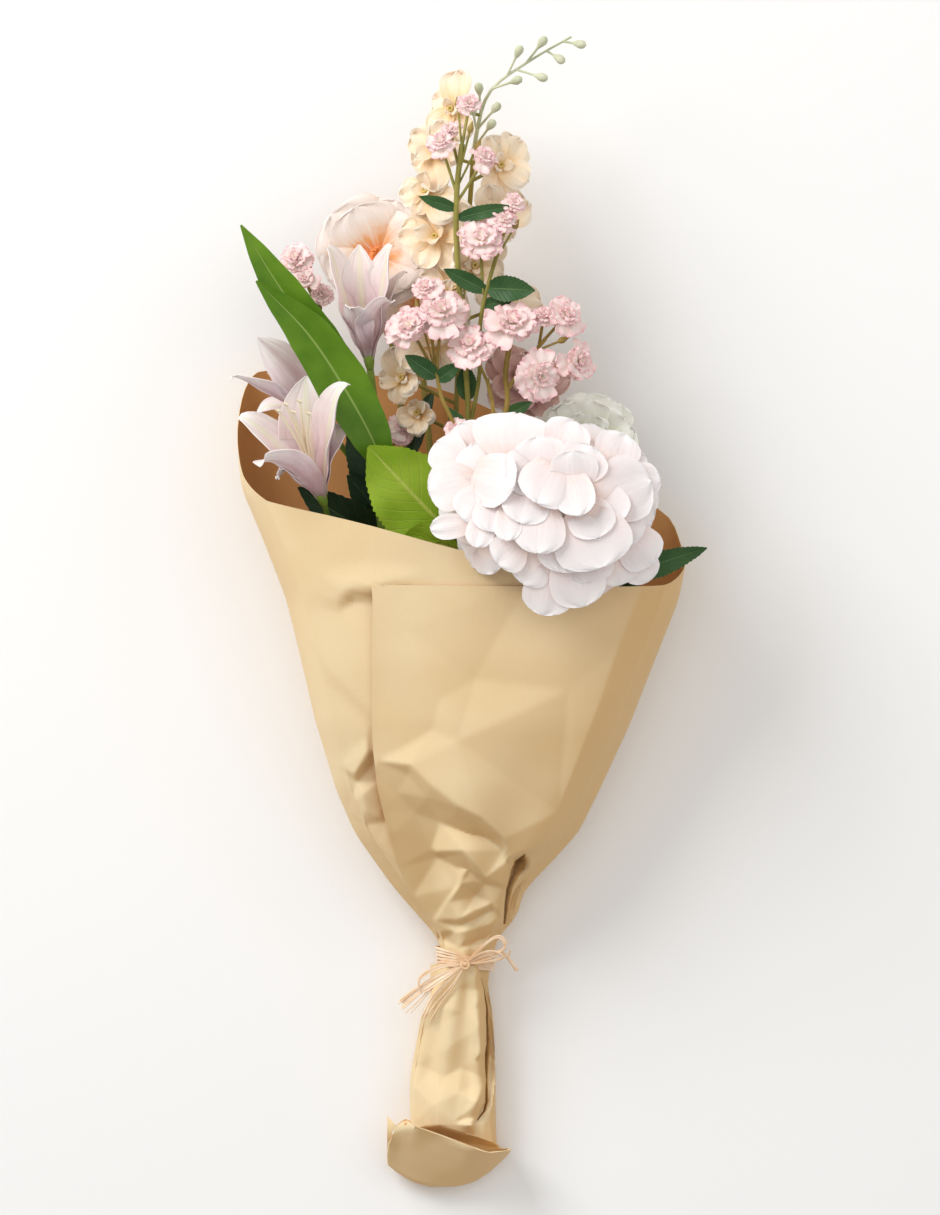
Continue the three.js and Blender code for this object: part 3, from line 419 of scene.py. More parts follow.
def leaf_material(name, dark, light, rib, veins, slope, gloss=0.42):
    """Coated cloth leaf with a midrib, side veins and uneven green."""
    n = Nodes(name, gloss, specular=0.22)
    u, v = n.split()
    out = abs(u * 2.0 - 1.0)
    color = n.mix(n.ramp(n.noise(34.0, 4.0), (0.3, 0.0), (0.7, 1.0)), dark, light)
    phase = v * veins - out * slope + n.noise(60.0, 2.0) * 0.3
    side = n.ramp(abs(n.maths("FRACT", phase) - 0.5), (0.0, 1.0), (0.09, 0.0))
    middle = n.ramp(out, (0.02, 1.0), (0.07, 0.0))
    color = n.mix(side * 0.28, color, rib)
    color = n.mix(middle * 0.75, color, rib)
    n.bump(side * -0.5 + middle * -0.8 + n.noise(300.0, 3.0) * 0.3, 0.0007, 0.7)
    return n.color(color)


def stem_material(name, dark, light, roughness=0.5):
    n = Nodes(name, roughness, specular=0.35)
    n.bump(n.noise(1.0, 3.0, None, (260, 40, 260)), 0.0005, 0.5)
    return n.color(n.mix(n.ramp(n.noise(55.0, 3.0), (0.35, 0.0), (0.65, 1.0)), dark, light))


def paper_material(name, base, pale, deep, roughness, painted_shade_colour=None):
    """Coated kraft paper: faint mottling, short fibres and a soft satin surface. Where it turns away from the key light
    at the upper left, its colour is mixed towards a darker, warmer painted shade."""
    n = Nodes(name, roughness, specular=0.16)
    color = n.mix(n.ramp(n.noise(9.0, 5.0), (0.35, 0.0), (0.65, 1.0)), base, pale)
    if painted_shade_colour:
        # Painted shade: the colour is mixed towards the painted shade colour where the surface's normal turns away from
        # the key light.
        facing = n.node("ShaderNodeVectorMath", operation="DOT_PRODUCT")
        n.feed(facing.inputs[0], n.node("ShaderNodeNewGeometry").outputs["Normal"])
        facing.inputs[1].default_value = (-0.55, 0.6, 0.58)
        away = n.ramp(facing.outputs["Value"], (0.05, 1.0), (0.62, 0.0))
        color = n.mix(away * 0.75, color, painted_shade_colour)
    fibres = n.ramp(n.noise(900.0, 2.0, None, (1, 0.25, 1)), (0.6, 0.0), (0.8, 1.0))
    color = n.mix(fibres * 0.18, color, deep)
    n.bump(n.noise(1400.0, 2.0) + n.noise(120.0, 3.0) * 0.8, 0.00025, 0.35)
    return n.color(color)


def fold_shade_material():
    """Painted shade for the inside of a narrow fold: the paper's brown inside colour, darkened as shade and darkest
    near its left side.
    """
    n = Nodes("fold_shade_paper", 0.7, specular=0.1)
    across = n.split()[0] + (n.noise(150.0, 3.0) - 0.5) * 0.5
    stops = [(0.0, "#a47c4a"), (0.2, "#6b4a27"), (0.5, "#8a6236"), (1.0, "#c79c62")]
    return n.color(n.ramp(across, *stops))


# The outside paper darkens towards its painted shade colour where it turns away from the key light.
paper_outside = paper_material("paper_outside", "#ebd1a3", "#f0dbb3", "#d6b37c", 0.5, painted_shade_colour="#d8ad72")
paper_inside = paper_material("paper_inside", "#dc9e62", "#e6ac70", "#b07c48", 0.65)
# Painted shade for the insides of deep folds.
fold_shade_paper = fold_shade_material()
olive_stem = stem_material("olive_stem", "#7f7a34", "#a39a4d")
green_stem = stem_material("green_stem", "#5d7a2c", "#86a03f")
brown_stem = stem_material("brown_stem", "#8a7433", "#a98f48")
sage = stem_material("sage_bud", "#b6bb97", "#d6d8bd", 0.6)
bud_brown = stem_material("bud_brown", "#8a7236", "#a88f4c")
straw = stem_material("straw", "#e9c39a", "#fbe5ca", 0.6)
# The hydrangea's nearly white edge colour is a painted highlight along its curled petal rims.
hydrangea_petal = petal_material(
    "hydrangea_petal", [(0.0, "#fcdccf"), (0.3, "#feebe7"), (0.75, "#fef6f6")], edge="#fffefe",
    streak="#fffcfb", streaks=0.3, vein=14.0)
white_petal = petal_material(
    "white_petal", [(0.0, "#f3f8cc"), (0.25, "#fbfde6"), (0.7, "#fffff4")], edge="#fffffb", streaks=0.2)
lily_inner = petal_material(
    "lily_petal", [(0.0, "#96766a"), (0.2, "#cba8a8"), (0.5, "#ebd2d3"), (1.0, "#faf2ec")], edge="#fffcf8",
    streak="#c9a5ae", streaks=0.4, vein=9.0, blotch="#f8efea", midrib="#dfe0b4")
lily_outer = petal_material(
    "lily_outer", [(0.0, "#8a6b60"), (0.25, "#c39ea2"), (0.6, "#e4cbd0"), (1.0, "#f8f0ec")], edge="#fffaf7",
    streak="#b793a0", streaks=0.45, vein=9.0, blotch="#f3e6e5", midrib="#b58f95")
poppy_petal = petal_material(
    "poppy_petal", [(0.0, "#ee8232"), (0.2, "#f5a766"), (0.36, "#fbdcc4"), (0.6, "#fcede4")], edge="#fef5f0",
    streak="#fff6ec", streaks=0.5, vein=22.0)
cream_petal = petal_material(
    "cream_petal", [(0.0, "#d9a24a"), (0.12, "#f2c484"), (0.36, "#fbddb6"), (0.8, "#feecd4")], edge="#fff8ea",
    streak="#fff5e2", streaks=0.45, vein=10.0, blotch="#f9d2a4")
rose_petal = petal_material(
    "rose_petal", [(0.0, "#fcf3d2"), (0.3, "#fff0e6"), (0.7, "#fee0dc")], edge="#f58ea4",
    streak="#fffaf7", streaks=0.45, vein=6.0)
dusty_petal = petal_material(
    "dusty_petal", [(0.0, "#c98a86"), (0.4, "#dba9a2"), (0.9, "#e5bcb4")], edge="#eac8c0", streaks=0.2)
poppy_heart = petal_material("poppy_heart", [(0.0, "#e8741f"), (1.0, "#f08e3c")], streaks=0.1)
pollen = petal_material("pollen", [(0.0, "#c79a34"), (1.0, "#e3c469")], streaks=0.1)
stamen_cream = petal_material("stamen_cream", [(0.0, "#e9d3a8"), (1.0, "#f7ead0")], streaks=0.1)
bright_leaf = leaf_material("bright_leaf", "#4a7410", "#6a9020", "#9db860", veins=0.0, slope=0.0)
lime_leaf = leaf_material("lime_leaf", "#7fa21c", "#9bb836", "#bcc85e", veins=9.0, slope=3.2, gloss=0.5)
dark_leaf = leaf_material("dark_leaf", "#1e3524", "#375238", "#52704e", veins=10.0, slope=2.0)
rose_leaf = leaf_material("rose_leaf", "#2b4f28", "#44683a", "#6f8d5c", veins=9.0, slope=2.0)


# Where each stem passes through the tied neck
PITCH = 5.4
ROW = PITCH * math.sqrt(0.75)
SLOTS = {
    "front_spray": (0, 2 * ROW), "lily": (-1.5 * PITCH, ROW), "foliage": (-0.5 * PITCH, ROW),
    "tall_spray": (0.5 * PITCH, ROW), "hydrangea": (1.5 * PITCH, ROW), "far_spray": (-PITCH, 0),
    "delphinium": (0, 0), "white_rose": (PITCH, 0), "large_poppy": (-1.5 * PITCH, -ROW),
    "small_poppy": (-0.5 * PITCH, -ROW), "dusty_pink": (0.5 * PITCH, -ROW),
}
BUNDLE = [(-11, -306, 15.6), (-8.5, -266, 16.2), (-2.2, -231, 18.6), (-1, -208, 22)]
SEAT_GAP = 0.4


def from_neck(slot, places):
    dx, dz = SLOTS[slot]
    return [(x + dx, y, z + dz) for x, y, z in BUNDLE] + [tuple(place) for place in places]


def reach(base, axis, distance):
    """The last two points of a stem, which runs up a bloom's axis to its seat."""
    return [np.asarray(base, float) - unit(axis) * gap for gap in (distance, SEAT_GAP)]


def stem(shape, path, radius, slot=0, count=60, sides=8):
    shape.tube(curve_through(path, count), radius, sides, slot)


# The paper wrapper

# Sections from the tail up to the rim: [y, left x, right x, top z, lowest z]
SECTIONS = [
    (-312, -40, 17, 31, 0), (-268.5, -32.5, 15, 32, 0), (-246, -22, 11, 33.5, 0.8),
    (-231, -19.8, 15.4, 35.4, 1.8), (-218, -21, 17, 38, 1.2), (-203.5, -32.5, 30, 46, 0),
    (-186, -47.5, 34, 55, 0), (-171, -58.5, 48.8, 63, 0), (-148, -74.8, 70, 74, 0),
    (-119, -87.8, 84.5, 86, 0), (-76.7, -100.8, 104.6, 99, 0), (-34.5, -110.5, 121, 108, 0),
    (4.6, -120, 136.5, 114, 0), (43.6, -135, 144, 118, 0), (78, -149.5, 148, 120, 0),
    (110, -152.5, 150, 122, 0), (170, -152.5, 152, 126, 0),
]
# From the free edge of the folded end, round the fold and on to the tail: [y, z, tilt in degrees, middle x,
# half width, half depth]. The entry at the fold is FOLD_ENTRY.
FOLD_ENTRY = 3
FOLDED_TAIL = [
    (-340, 29, -176, -12, 37, 3.1), (-356, 26, -170, -14, 40, 3.1), (-370, 20, -135, -14, 41, 3.1),
    (-376, 12, -90, -14, 40.5, 3.1), (-370, 5, -35, -14, 39.5, 3.6), (-357, 7, 0, -14, 37, 7),
    (-350, 8.6, 0, -13.5, 33, 8.6), (-344, 15.3, 0, -12, 29.5, 15.3),
]
FLAP_START = [(-340, 150), (-231, 168), (-205, 141), (-180, 136), (-164, 131.5), (-146, 128), (-95, 126),
              (-60, 123.5), (14, 118.7)]
# Turns from the free edge of the flap, in degrees: the ends of the front, of the back, of the layer that
# shows beside the flap, and of the whole roll
FRONT_TURN, BACK_TURN, LAYER_TURN, ROLL_TURN = 122, 292, 364, 408
PLEAT_DEPTH = [(-340, 0), (-300, 0.9), (-246, 0.8), (-231, 0.4), (-205, 1.6), (-180, 2), (-120, 1), (-70, 0)]
RIM = [
    (0, 14.5), (60, 13), (85, 14), (105, 22), (120, 29), (140, 38), (160, 62), (185, 104), (215, 146),
    (245, 160), (270, 152), (290, 126), (305, 92), (330, 72), (360, 56), (385, 36), (ROLL_TURN, 22),
]
PAPER_THICKNESS = 0.45
LAYER_STEP = 1.6
# The cone and the tail overlap under the raffia. Above the last level the cone's rows share out its rim.
TAIL_FOOT, CONE_FOOT, TAIL_TOP, LAST_LEVEL = -340, -232, -228, -76.7


def section_at(y, reach):
    """Middle x, middle z, half width, half depth and lowest z of the wrapper's section at y."""
    left, right, top, low = (softly([(s[0], s[k]) for s in SECTIONS], y, reach) for k in (1, 2, 3, 4))
    depth = top - low
    return (left + right) / 2, low + depth * 0.48, (right - left) / 2, depth * 0.52, low


def layer_depth(turn):
    """How far the paper lies below the flap that rolls over it."""
    return LAYER_STEP * smooth((turn - 300) / 58)


def section_points(middle_x, middle_z, half_width, half_depth, low, angle, outset):
    """Points of a section: round at its sides and gently arched across its top and back."""
    def bare(degrees):
        turn = np.radians(degrees)
        x = (half_width - half_depth) * np.clip(1.25 * np.cos(turn), -1, 1) + half_depth * np.cos(turn)
        return x, half_depth * np.sin(turn)
    ahead, behind = bare(angle + 2), bare(angle - 2)
    step_x, step_z = ahead[0] - behind[0], ahead[1] - behind[1]
    size = np.hypot(step_x, step_z)
    x, z = bare(angle)
    x = middle_x + x + step_z / size * outset
    z = middle_z + z - step_x / size * outset
    return x, np.maximum(z, low - np.minimum(outset, 0))


# Crease lines of the paper seen from above, which run along ridges, valleys and level places: [x, y, height]
FLAP_FOLDS = [
    # the edge of the wide lobe: from its dimple to its tip, and up where the paper turns over to the right
    [(-39, -102.5, 6), (-25, -116, 9), (-7.5, -129.5, 12), (7, -137, 13), (21.5, -151, 14), (24, -165, 12),
     (33.5, -160, 11), (49.5, -152.5, 8), (57.5, -134, 7), (70.5, -99.5, 7), (83.5, -65, 6), (96.5, -26, 5),
     (112, 13, 3)],
    [(-39, -102.5, 6), (-8, -87, 5), (3, -47, -2), (64, -54, 3), (57.5, -134, 7)],
    [(-44, -92, 1), (-24, -80, 1)],
    # the foot of the lobe, where the paper is lower
    [(-40, -109, 1), (-28, -124, 2), (-11, -136, 3), (5, -142.5, 4), (17, -151, 7)],
    [(-60, -100, 1), (-48, -121, -2), (-36, -134, -4), (-20, -140, -5), (-3, -147.5, -3), (9, -150, -2),
     (17, -154.5, 3)],
    # a bright pleat below it, and the dark fold under that
    [(-18.4, -142.8, -4), (21.8, -158.6, 6), (24, -166, 10), (9.8, -177, 11), (-4.4, -159, 6), (-21.6, -160, -1),
     (-18.4, -142.8, -4)],
    [(-25, -158, -6), (-21, -163.5, -8), (-8, -170.5, -5), (0.5, -172.5, -1), (10, -180, 4)],
    # the ridge down to the tie, with small facets on its right and a flat face on its left
    [(-3, -172, 0), (-6, -181, 1), (-15.2, -193.7, 1), (-22.7, -205.6, 1), (-21.6, -213, 1)],
    [(-8.5, -173.5, -3), (-9.5, -183, -1.5), (-18, -195, -0.5), (-25.5, -206, 0)],
    [(-6, -181, 1), (10, -180, 4), (3.3, -188.5, -3), (-6, -181, 1)],
    [(10, -180, 4), (14, -194, 4), (-6.5, -204.5, 4), (3.3, -188.5, -3)],
    [(-7, -208.5, -2), (14.5, -198, 0), (20, -206, 1)],
    [(-18, -217, -4), (-10, -213, 2), (4, -211, 3), (8, -218, -4)],
    # the deep pocket at the right of the neck
    [(27, -168.5, 9), (26, -184, 6), (23, -204, 3)],
    [(33.5, -165, -9), (35, -171, -11), (31, -181, -11), (27.5, -191, -9), (25.5, -205, -5)],
    [(37, -164, 2), (50, -157, 3)],
    [(37, -164, 2), (39.5, -171, 1), (34.5, -184, 1), (30.5, -196, 1), (29, -202, 0)],
    # the turned-over side
    [(60, -158, 0), (88, -119, -3), (107, -77, -3), (123, -35, -2), (136, 6, 0)],
    # level places round them
    [(-66, 40, 0), (-66, 14, 0), (-66, -30, 0), (-66, -82, 0), (-63, -108, 0), (-58, -134, 0), (-52, -150, 0),
     (-46, -170, 0), (-38, -190, 0), (-33, -204, 0), (-24, -220, 0), (-8, -224, 0), (12, -223, 0), (22, -216, 0),
     (32, -200, 0), (44, -182, 0), (64, -164, 0), (98, -116, 0), (124, -60, 0), (142, 6, 0), (150, 60, 0)],
    [(40, 20, 0)],
    [(-40, -15, 0), (-20, -60, 1)],
]
LAYER_FOLDS = [
    # a pucker beside the corner of the flap
    [(-86, 2.5, 0.5), (-77, 11, 3), (-64, 11.5, 3), (-41, 17, 2)],
    [(-85, -2, -1.5), (-76, 5, -3.5), (-62, 6, -4), (-44, 12, -1)],
    [(-104, 8, 0), (-100, 22, 0.5), (-70, 28, 0), (-30, 26, 0)],
    # a faint diagonal line
    [(-90, -43, 1.2), (-64, -68, 1.2)],
    [(-93, -48, -0.5), (-64, -75, -0.5)],
    [(-74, -114, -2), (-70, -122, 1), (-68, -133, 1.5)],
    # short folds that run in under the free edge, and the hollow along that edge
    [(-86, -104, 0.5), (-75, -109, 2), (-67, -96, 2), (-67, -84, 0)],
    [(-74, -114, -2), (-62.5, -101, -7)],
    [(-62.5, -94, -2), (-62.5, -101, -7), (-59.5, -114, -8), (-56, -128, -6.5), (-54.5, -139.5, -6),
     (-50, -152, -4), (-45, -166, -1)],
    [(-71, -139, 1), (-60, -137, -2.5)],
    [(-70, -142.5, -0.8), (-54.5, -139.5, -6)],
    [(-63, -156, 0), (-55, -154, -2)],
    [(-140, 100, 0), (-124, 40, 0), (-112, -6, 0), (-102, -60, 0), (-92, -100, 0), (-80, -134, 0), (-66, -158, 0),
     (-50, -184, 0), (-30, -205, 0), (-30, -160, 0), (-40, -100, 0), (-40, -40, 0), (-30, 10, 0)],
    [(-60, 70, 0), (-20, 40, 0), (0, 10, 0)],
]
STAR = (-17, -309, -4)
TAIL_FOLDS = [
    # valleys that meet in a star, with a flat face above it and a bright bulge below it
    [STAR, (-6, -303, -4), (3, -298, -3), (8, -293, 0)],
    [STAR, (-27, -304, -3), (-38, -300, -1)],
    [STAR, (-23, -295, -2), (-30, -278, -2), (-33, -268, 0)],
    [STAR, (-21, -317, 1), (-25, -327, 4)],
    [STAR, (-8, -319, 3), (4, -325, 5)],
    [(-36, -316, 2), (-30, -332, 2.5), (-10, -338, 3), (2, -341, 4), (7, -342, 3)],
    [(-20, -248, 0), (-20, -262, 2.5), (-27, -268, 0.5)],
    [(-8, -250, 1), (-5, -266, 2), (3, -262, 1), (6, -276, 2.5)],
    # the hollow of the long slit beside the lap
    [(8, -240, 0), (12, -252, -4), (13, -264, -6), (13.5, -284, -7), (13.5, -294, -9), (12.5, -311, -8),
     (11, -325, -6), (6, -334, -3)],
    # the strip on its right
    [(16.5, -250, 0), (18, -268, 1), (18, -290, -2), (17.5, -312, 0), (15, -328, 2), (10, -338, 0)],
    [(-21, -243, 0), (8, -236, 0)],
    [(-36, -250, 0), (-41, -290, 0), (-42, -320, 0), (-41, -344, 0), (-20, -346, 0), (8, -352, 0), (24, -350, 0),
     (24, -320, 0), (24, -270, 0), (18, -240, 0)],
]
PANEL_FOLDS = [
    [(-21, -346, 1), (-11, -359, 0), (-1, -374, 0)],
    [(-58, -350, -2), (-47, -341, 4), (-36, -338, 8), (-21, -346, 1), (2, -355, 9), (27, -357, 3)],
    [(-40, -357, 3), (-24, -366, 0.5)],
    [(-58, -350, -2), (-48, -374, 0), (-26, -382, 0), (2, -380, 0), (16, -371, 0), (29, -357, 2)],
    [(14, -362, 3), (20, -358, 3)],
]


def folded(x, y, folds):
    """Height of a net of creases at the places. The creases are edges of the net, and it is flat between."""
    points, heights, edges = [], [], []
    for crease in folds:
        first = len(points)
        points += [Vector(place[:2]) for place in crease]
        heights += [place[2] for place in crease]
        edges += [(k, k + 1) for k in range(first, len(points) - 1)]
    corners, _, faces, origins, _, _ = delaunay_2d_cdt(points, edges, [], 0, 0.001)
    heights = [heights[origin[0]] for origin in origins]
    height = np.zeros_like(x)
    for face in faces:
        (ax, ay), (bx, by), (cx, cy) = (corners[k] for k in face)
        span = (by - cy) * (ax - cx) + (cx - bx) * (ay - cy)
        if abs(span) < 1e-6:
            continue
        first = ((by - cy) * (x - cx) + (cx - bx) * (y - cy)) / span
        second = ((cy - ay) * (x - cx) + (ax - cx) * (y - cy)) / span
        third = 1 - first - second
        inside = (first >= 0) & (second >= 0) & (third >= 0)
        flat = first * heights[face[0]] + second * heights[face[1]] + third * heights[face[2]]
        height = np.where(inside, flat, height)
    return height


def eased(x, y, folds):
    """The folds, eased a little so that they bend instead of break."""
    steps = [(0, 0), (1, 0), (-1, 0), (0, 1), (0, -1)]
    return sum(folded(x + dx, y + dy, folds) for dx, dy in steps) / len(steps)


FOLD_EDGE = [(-52, -345), (-50, -341), (-42, -336), (-36, -340), (-20, -346), (12, -357.5), (27, -356)]
TUBE_END = [(-45, -344), (-34, -341.5), (-20, -341), (-6.5, -345), (5, -348), (14, -351.5), (27, -356)]
FOLD_END = [(-56, -365), (-48, -371), (-38, -377), (-26, -380), (-8, -379.5), (3, -376.5), (14, -369), (27, -357)]


def tail_rows(turn, steps):
    """The rows of the folded end, from its free edge round the fold to the tail."""
    tail = np.array(FOLDED_TAIL, float)
    entries = range(len(tail))
    fold_y, tube_y = tail[FOLD_ENTRY, 0], tail[-1, 0]
    rows = []
    for t in np.linspace(0, entries[-1], steps):
        y, z, tilt, middle_x, half_width, half_depth = (np.interp(t, entries, column) for column in tail.T)
        angle = along(FLAP_START, y) - turn
        x, rise = section_points(middle_x, 0, half_width, half_depth, -half_depth, angle, -layer_depth(turn))
        lean = math.radians(tilt)
        z = z + rise * math.cos(lean)
        if t <= FOLD_ENTRY:
            free = 1 - t / FOLD_ENTRY
            level = along(FOLD_EDGE, x) * free + along(FOLD_END, x) * (1 - free)
            z = z + 7 * free ** 2 + eased(x, level, PANEL_FOLDS) * free ** 0.5
        else:
            share = (y - fold_y) / (tube_y - fold_y)
            level = along(FOLD_END, x) * (1 - share) + along(TUBE_END, x) * share
        rows.append(np.stack([x, level - rise * math.sin(lean), z], axis=-1))
    return rows


def tube_rows(turn, levels, shares=()):
    """Level rows of the wrapper, and then rows that share out the way up to its rim."""
    layer = layer_depth(turn)
    heights = [np.full_like(turn, level) for level in levels]
    heights += [LAST_LEVEL + (softly(RIM, turn, 5) - LAST_LEVEL) * share for share in shares]
    rows = []
    for y in heights:
        section = section_at(y, 4)
        angle = along(FLAP_START, y) - turn
        fold = along(PLEAT_DEPTH, y) * np.cos(np.radians(9 * angle + 0.6 * y))
        x, z = section_points(*section, angle, fold - layer)
        rows.append(np.stack([x, y, np.maximum(z, section[4] + layer)], axis=-1))
    return rows


def creased(rows, turn):
    """The rows with their folds, as the outer face of the paper."""
    grid = np.array(rows)
    # The rows run up the bouquet and the turns run clockwise, so the normal points outwards
    front = smooth((normals_of(grid)[:, :, 2] - 0.3) / 0.5)
    x, y = grid[:, :, 0], grid[:, :, 1]
    above_end = y - along(TUBE_END, x)
    lift = eased(x, y, FLAP_FOLDS) + eased(x, y, TAIL_FOLDS) * 0.85 * smooth((above_end + 3) / 5)
    lift += np.where(turn >= BACK_TURN, eased(x, y, LAYER_FOLDS), 0)
    # The free edge of the flap stands off the layer below it
    free = smooth((y + 235) / 30) * (1.4 + 2.2 * np.exp(-((y + 125) / 45) ** 2))
    lift += free * np.exp(-turn / 5)
    # The paper is never quite flat
    lift += 0.4 * np.sin(x / 17 + y / 41) * np.sin(y / 23 - x / 37)
    grid[:, :, 2] += lift * front * (above_end > -3)
    return grid


LAP_EDGE = [(-344, 3), (-339, 3), (-333, 6), (-326, 9.5), (-311, 10.6), (-299, 9.6), (-293, 9.8), (-287, 10.8),
            (-276, 10.8), (-262, 10.2), (-252, 9.2), (-241, 6.5), (-234, 5)]
LAP_LEFT, LAP_FOOT, LAP_TOP = -26, -347, -234


def paper_height(rows, turn, x, y):
    """Height of the front of the paper at the places, from the rows that run up it."""
    seen = turn < FRONT_TURN
    levels = np.array([np.interp(x, row[seen, 0], row[seen, 1]) for row in rows])
    heights = np.array([np.interp(x, row[seen, 0], row[seen, 2]) for row in rows])
    return np.array([np.interp(y[k], levels[:, k], heights[:, k]) for k in range(len(x))])


def lap(rows, turn):
    """The long lap down the front of the tail. Its right edge stands free, with a slit beside it that a strip of
    painted shade makes dark.
    """
    grid = []
    for level in np.arange(LAP_FOOT, LAP_TOP, 1.0):
        edge = along(LAP_EDGE, level)
        x = np.linspace(LAP_LEFT, edge, 30)
        end = along(TUBE_END, x)
        y = np.maximum(level, end + 1 + 0.1 * (level - LAP_FOOT))
        rise = 3.6 * smooth((x - edge + 12) / 9) - 1.8 * smooth((x - edge + 2.2) / 2.2)
        height = -0.9 + smooth((x - LAP_LEFT) / 5) * (1.2 + rise * smooth((y - end) / 8))
        grid.append(np.stack([x, y, paper_height(rows, turn, x, y) + height], axis=-1))
    return np.array(grid)


# Deep folds, in which a strip of painted shade lies over the paper's inside: [level, left x, right x]
POCKET = [(-208, 22, 23.5), (-194, 22.6, 26), (-184, 23.6, 28), (-177, 25.8, 31.6), (-171, 27, 36),
          (-166, 29, 36.8), (-161.5, 35.4, 36.2)]
SLIT = [(-337, 4.5, 5.5), (-331, 8.6, 10.6), (-325, 10.2, 12.2), (-311, 10.2, 11.5), (-294, 9.8, 12.6),
        (-284, 9.6, 13.4), (-276, 10.4, 12.8), (-264, 10.8, 12), (-252, 8.8, 9.8), (-243, 6.6, 7.3)]


# A strip just above the paper in a deep fold, which carries the fold's painted shade.
def fold_shade_strip(rows, turn, table):
    levels, lefts, rights = zip(*table)
    grid = []
    for level in np.arange(levels[0], levels[-1], 0.8):
        x = np.linspace(np.interp(level, levels, lefts), np.interp(level, levels, rights), 9)
        y = np.full_like(x, level)
        rim = np.linspace(-1, 1, 9) ** 4
        grid.append(np.stack([x, y, paper_height(rows, turn, x, y) + 0.9 - 0.9 * rim], axis=-1))
    return np.array(grid)


def paper_turns(front_step, back_step, layer_step):
    """Turns of the columns of the paper, which are closest where its folds show."""
    return np.concatenate([
        np.arange(0, FRONT_TURN, front_step), np.arange(FRONT_TURN, BACK_TURN, back_step),
        np.arange(BACK_TURN, LAYER_TURN, layer_step), np.arange(LAYER_TURN, ROLL_TURN, 2.6 * layer_step),
        [ROLL_TURN],
    ])


def paper_piece(name, grid, front=0):
    shape = Shape()
    shape.between(grid, grid - normals_of(grid) * PAPER_THICKNESS, front, 1)
    return shape.build(name, [paper_outside, paper_inside, fold_shade_paper], "wrapper", record_slot="kraft_paper")


# A narrow strip of the folded end that shows at its left: [left x, y, right x, y, height]
NOTCHED_STRIP = [(-54.5, -335, -53, -336.5, 19), (-54.5, -341, -49, -340.5, 21), (-54.5, -347, -51.5, -346, 20),
                 (-54.5, -350, -49.5, -350, 18), (-54.5, -358, -44, -360, 14), (-54.5, -365, -42, -371, 9)]


def notched_strip():
    grid = [np.linspace((left, left_y, z), (right, right_y, z + 1.5), 5)
            for left, left_y, right, right_y, z in reversed(NOTCHED_STRIP)]
    return np.array(grid)


def wrapper():
    """The cone above the tie and the tail below it, which meet under the raffia."""
    coarse = 1.0
    turn = paper_turns(0.8 * coarse, 5, 1.0 * coarse)
    levels = np.concatenate([np.arange(CONE_FOOT, -100, 1.3 * coarse), np.arange(-99, -77, 2.3)])
    outer = creased(tube_rows(turn, levels, np.linspace(0, 1, int(34 / coarse))), turn)
    paper_piece("wrapper_cone", outer)
    # A strip of painted shade in the deep pocket at the right of the neck.
    paper_piece("wrapper_pocket_shade", fold_shade_strip(outer, turn, POCKET), 2)
    turn = paper_turns(1.0 * coarse, 6, 1.4 * coarse)
    tube = tube_rows(turn, np.arange(TAIL_FOOT, TAIL_TOP, 1.0 * coarse))
    folded_end = tail_rows(turn, int(30 / coarse))
    outer = creased(folded_end + tube, turn)
    paper_piece("wrapper_tail", outer)
    above_fold = outer[len(folded_end) * 5 // 7:]
    paper_piece("wrapper_lap", lap(above_fold, turn))
    # A strip of painted shade in the slit beside the lap.
    paper_piece("wrapper_slit_shade", fold_shade_strip(above_fold, turn, SLIT), 2)
    paper_piece("wrapper_strip", notched_strip())


# Raffia round the neck
KNOT = np.array([-3, -234, 39.6])
NECK_INSIDE = (-2.2, 0, 12)
WRAPS = 15
BAND_Y = -232.5


def strand(shape, path, width, flat=0.55):
    """One flat fibre of raffia, whose flat side looks away from a line inside the neck."""
    line = curve_through(path, 40)
    forward = units(np.gradient(line, axis=0))
    side = units(np.cross(forward, line * [1, 0, 1] - NECK_INSIDE))
    aside = np.array([-1, 0, 1]) * width / 2
    shape.sheet(line[:, None] + aside[:, None] * side[:, None], flat)


def wrap_round(k):
    """One turn of raffia round the neck. The turns lean, and fan out at the left."""
    path = []
    for angle in np.linspace(-100, 260, 25):
        aside = math.cos(math.radians(angle))
        spread = (k / (WRAPS - 1) - 0.5) * (6.5 + 5.5 * max(-aside, 0))
        y = BAND_Y - 3.4 * aside + spread + 0.5 * math.sin(k * 2.3 + angle / 40)
        *section, low = section_at(y, 1)
        outset = 1.3 + 0.45 * (k % 3) + 0.2 * math.sin(angle / 25 + k)
        x, z = section_points(*section, max(low - 1.1, 0.6), angle, outset)
        path.append((float(x), y, float(z)))
    return path


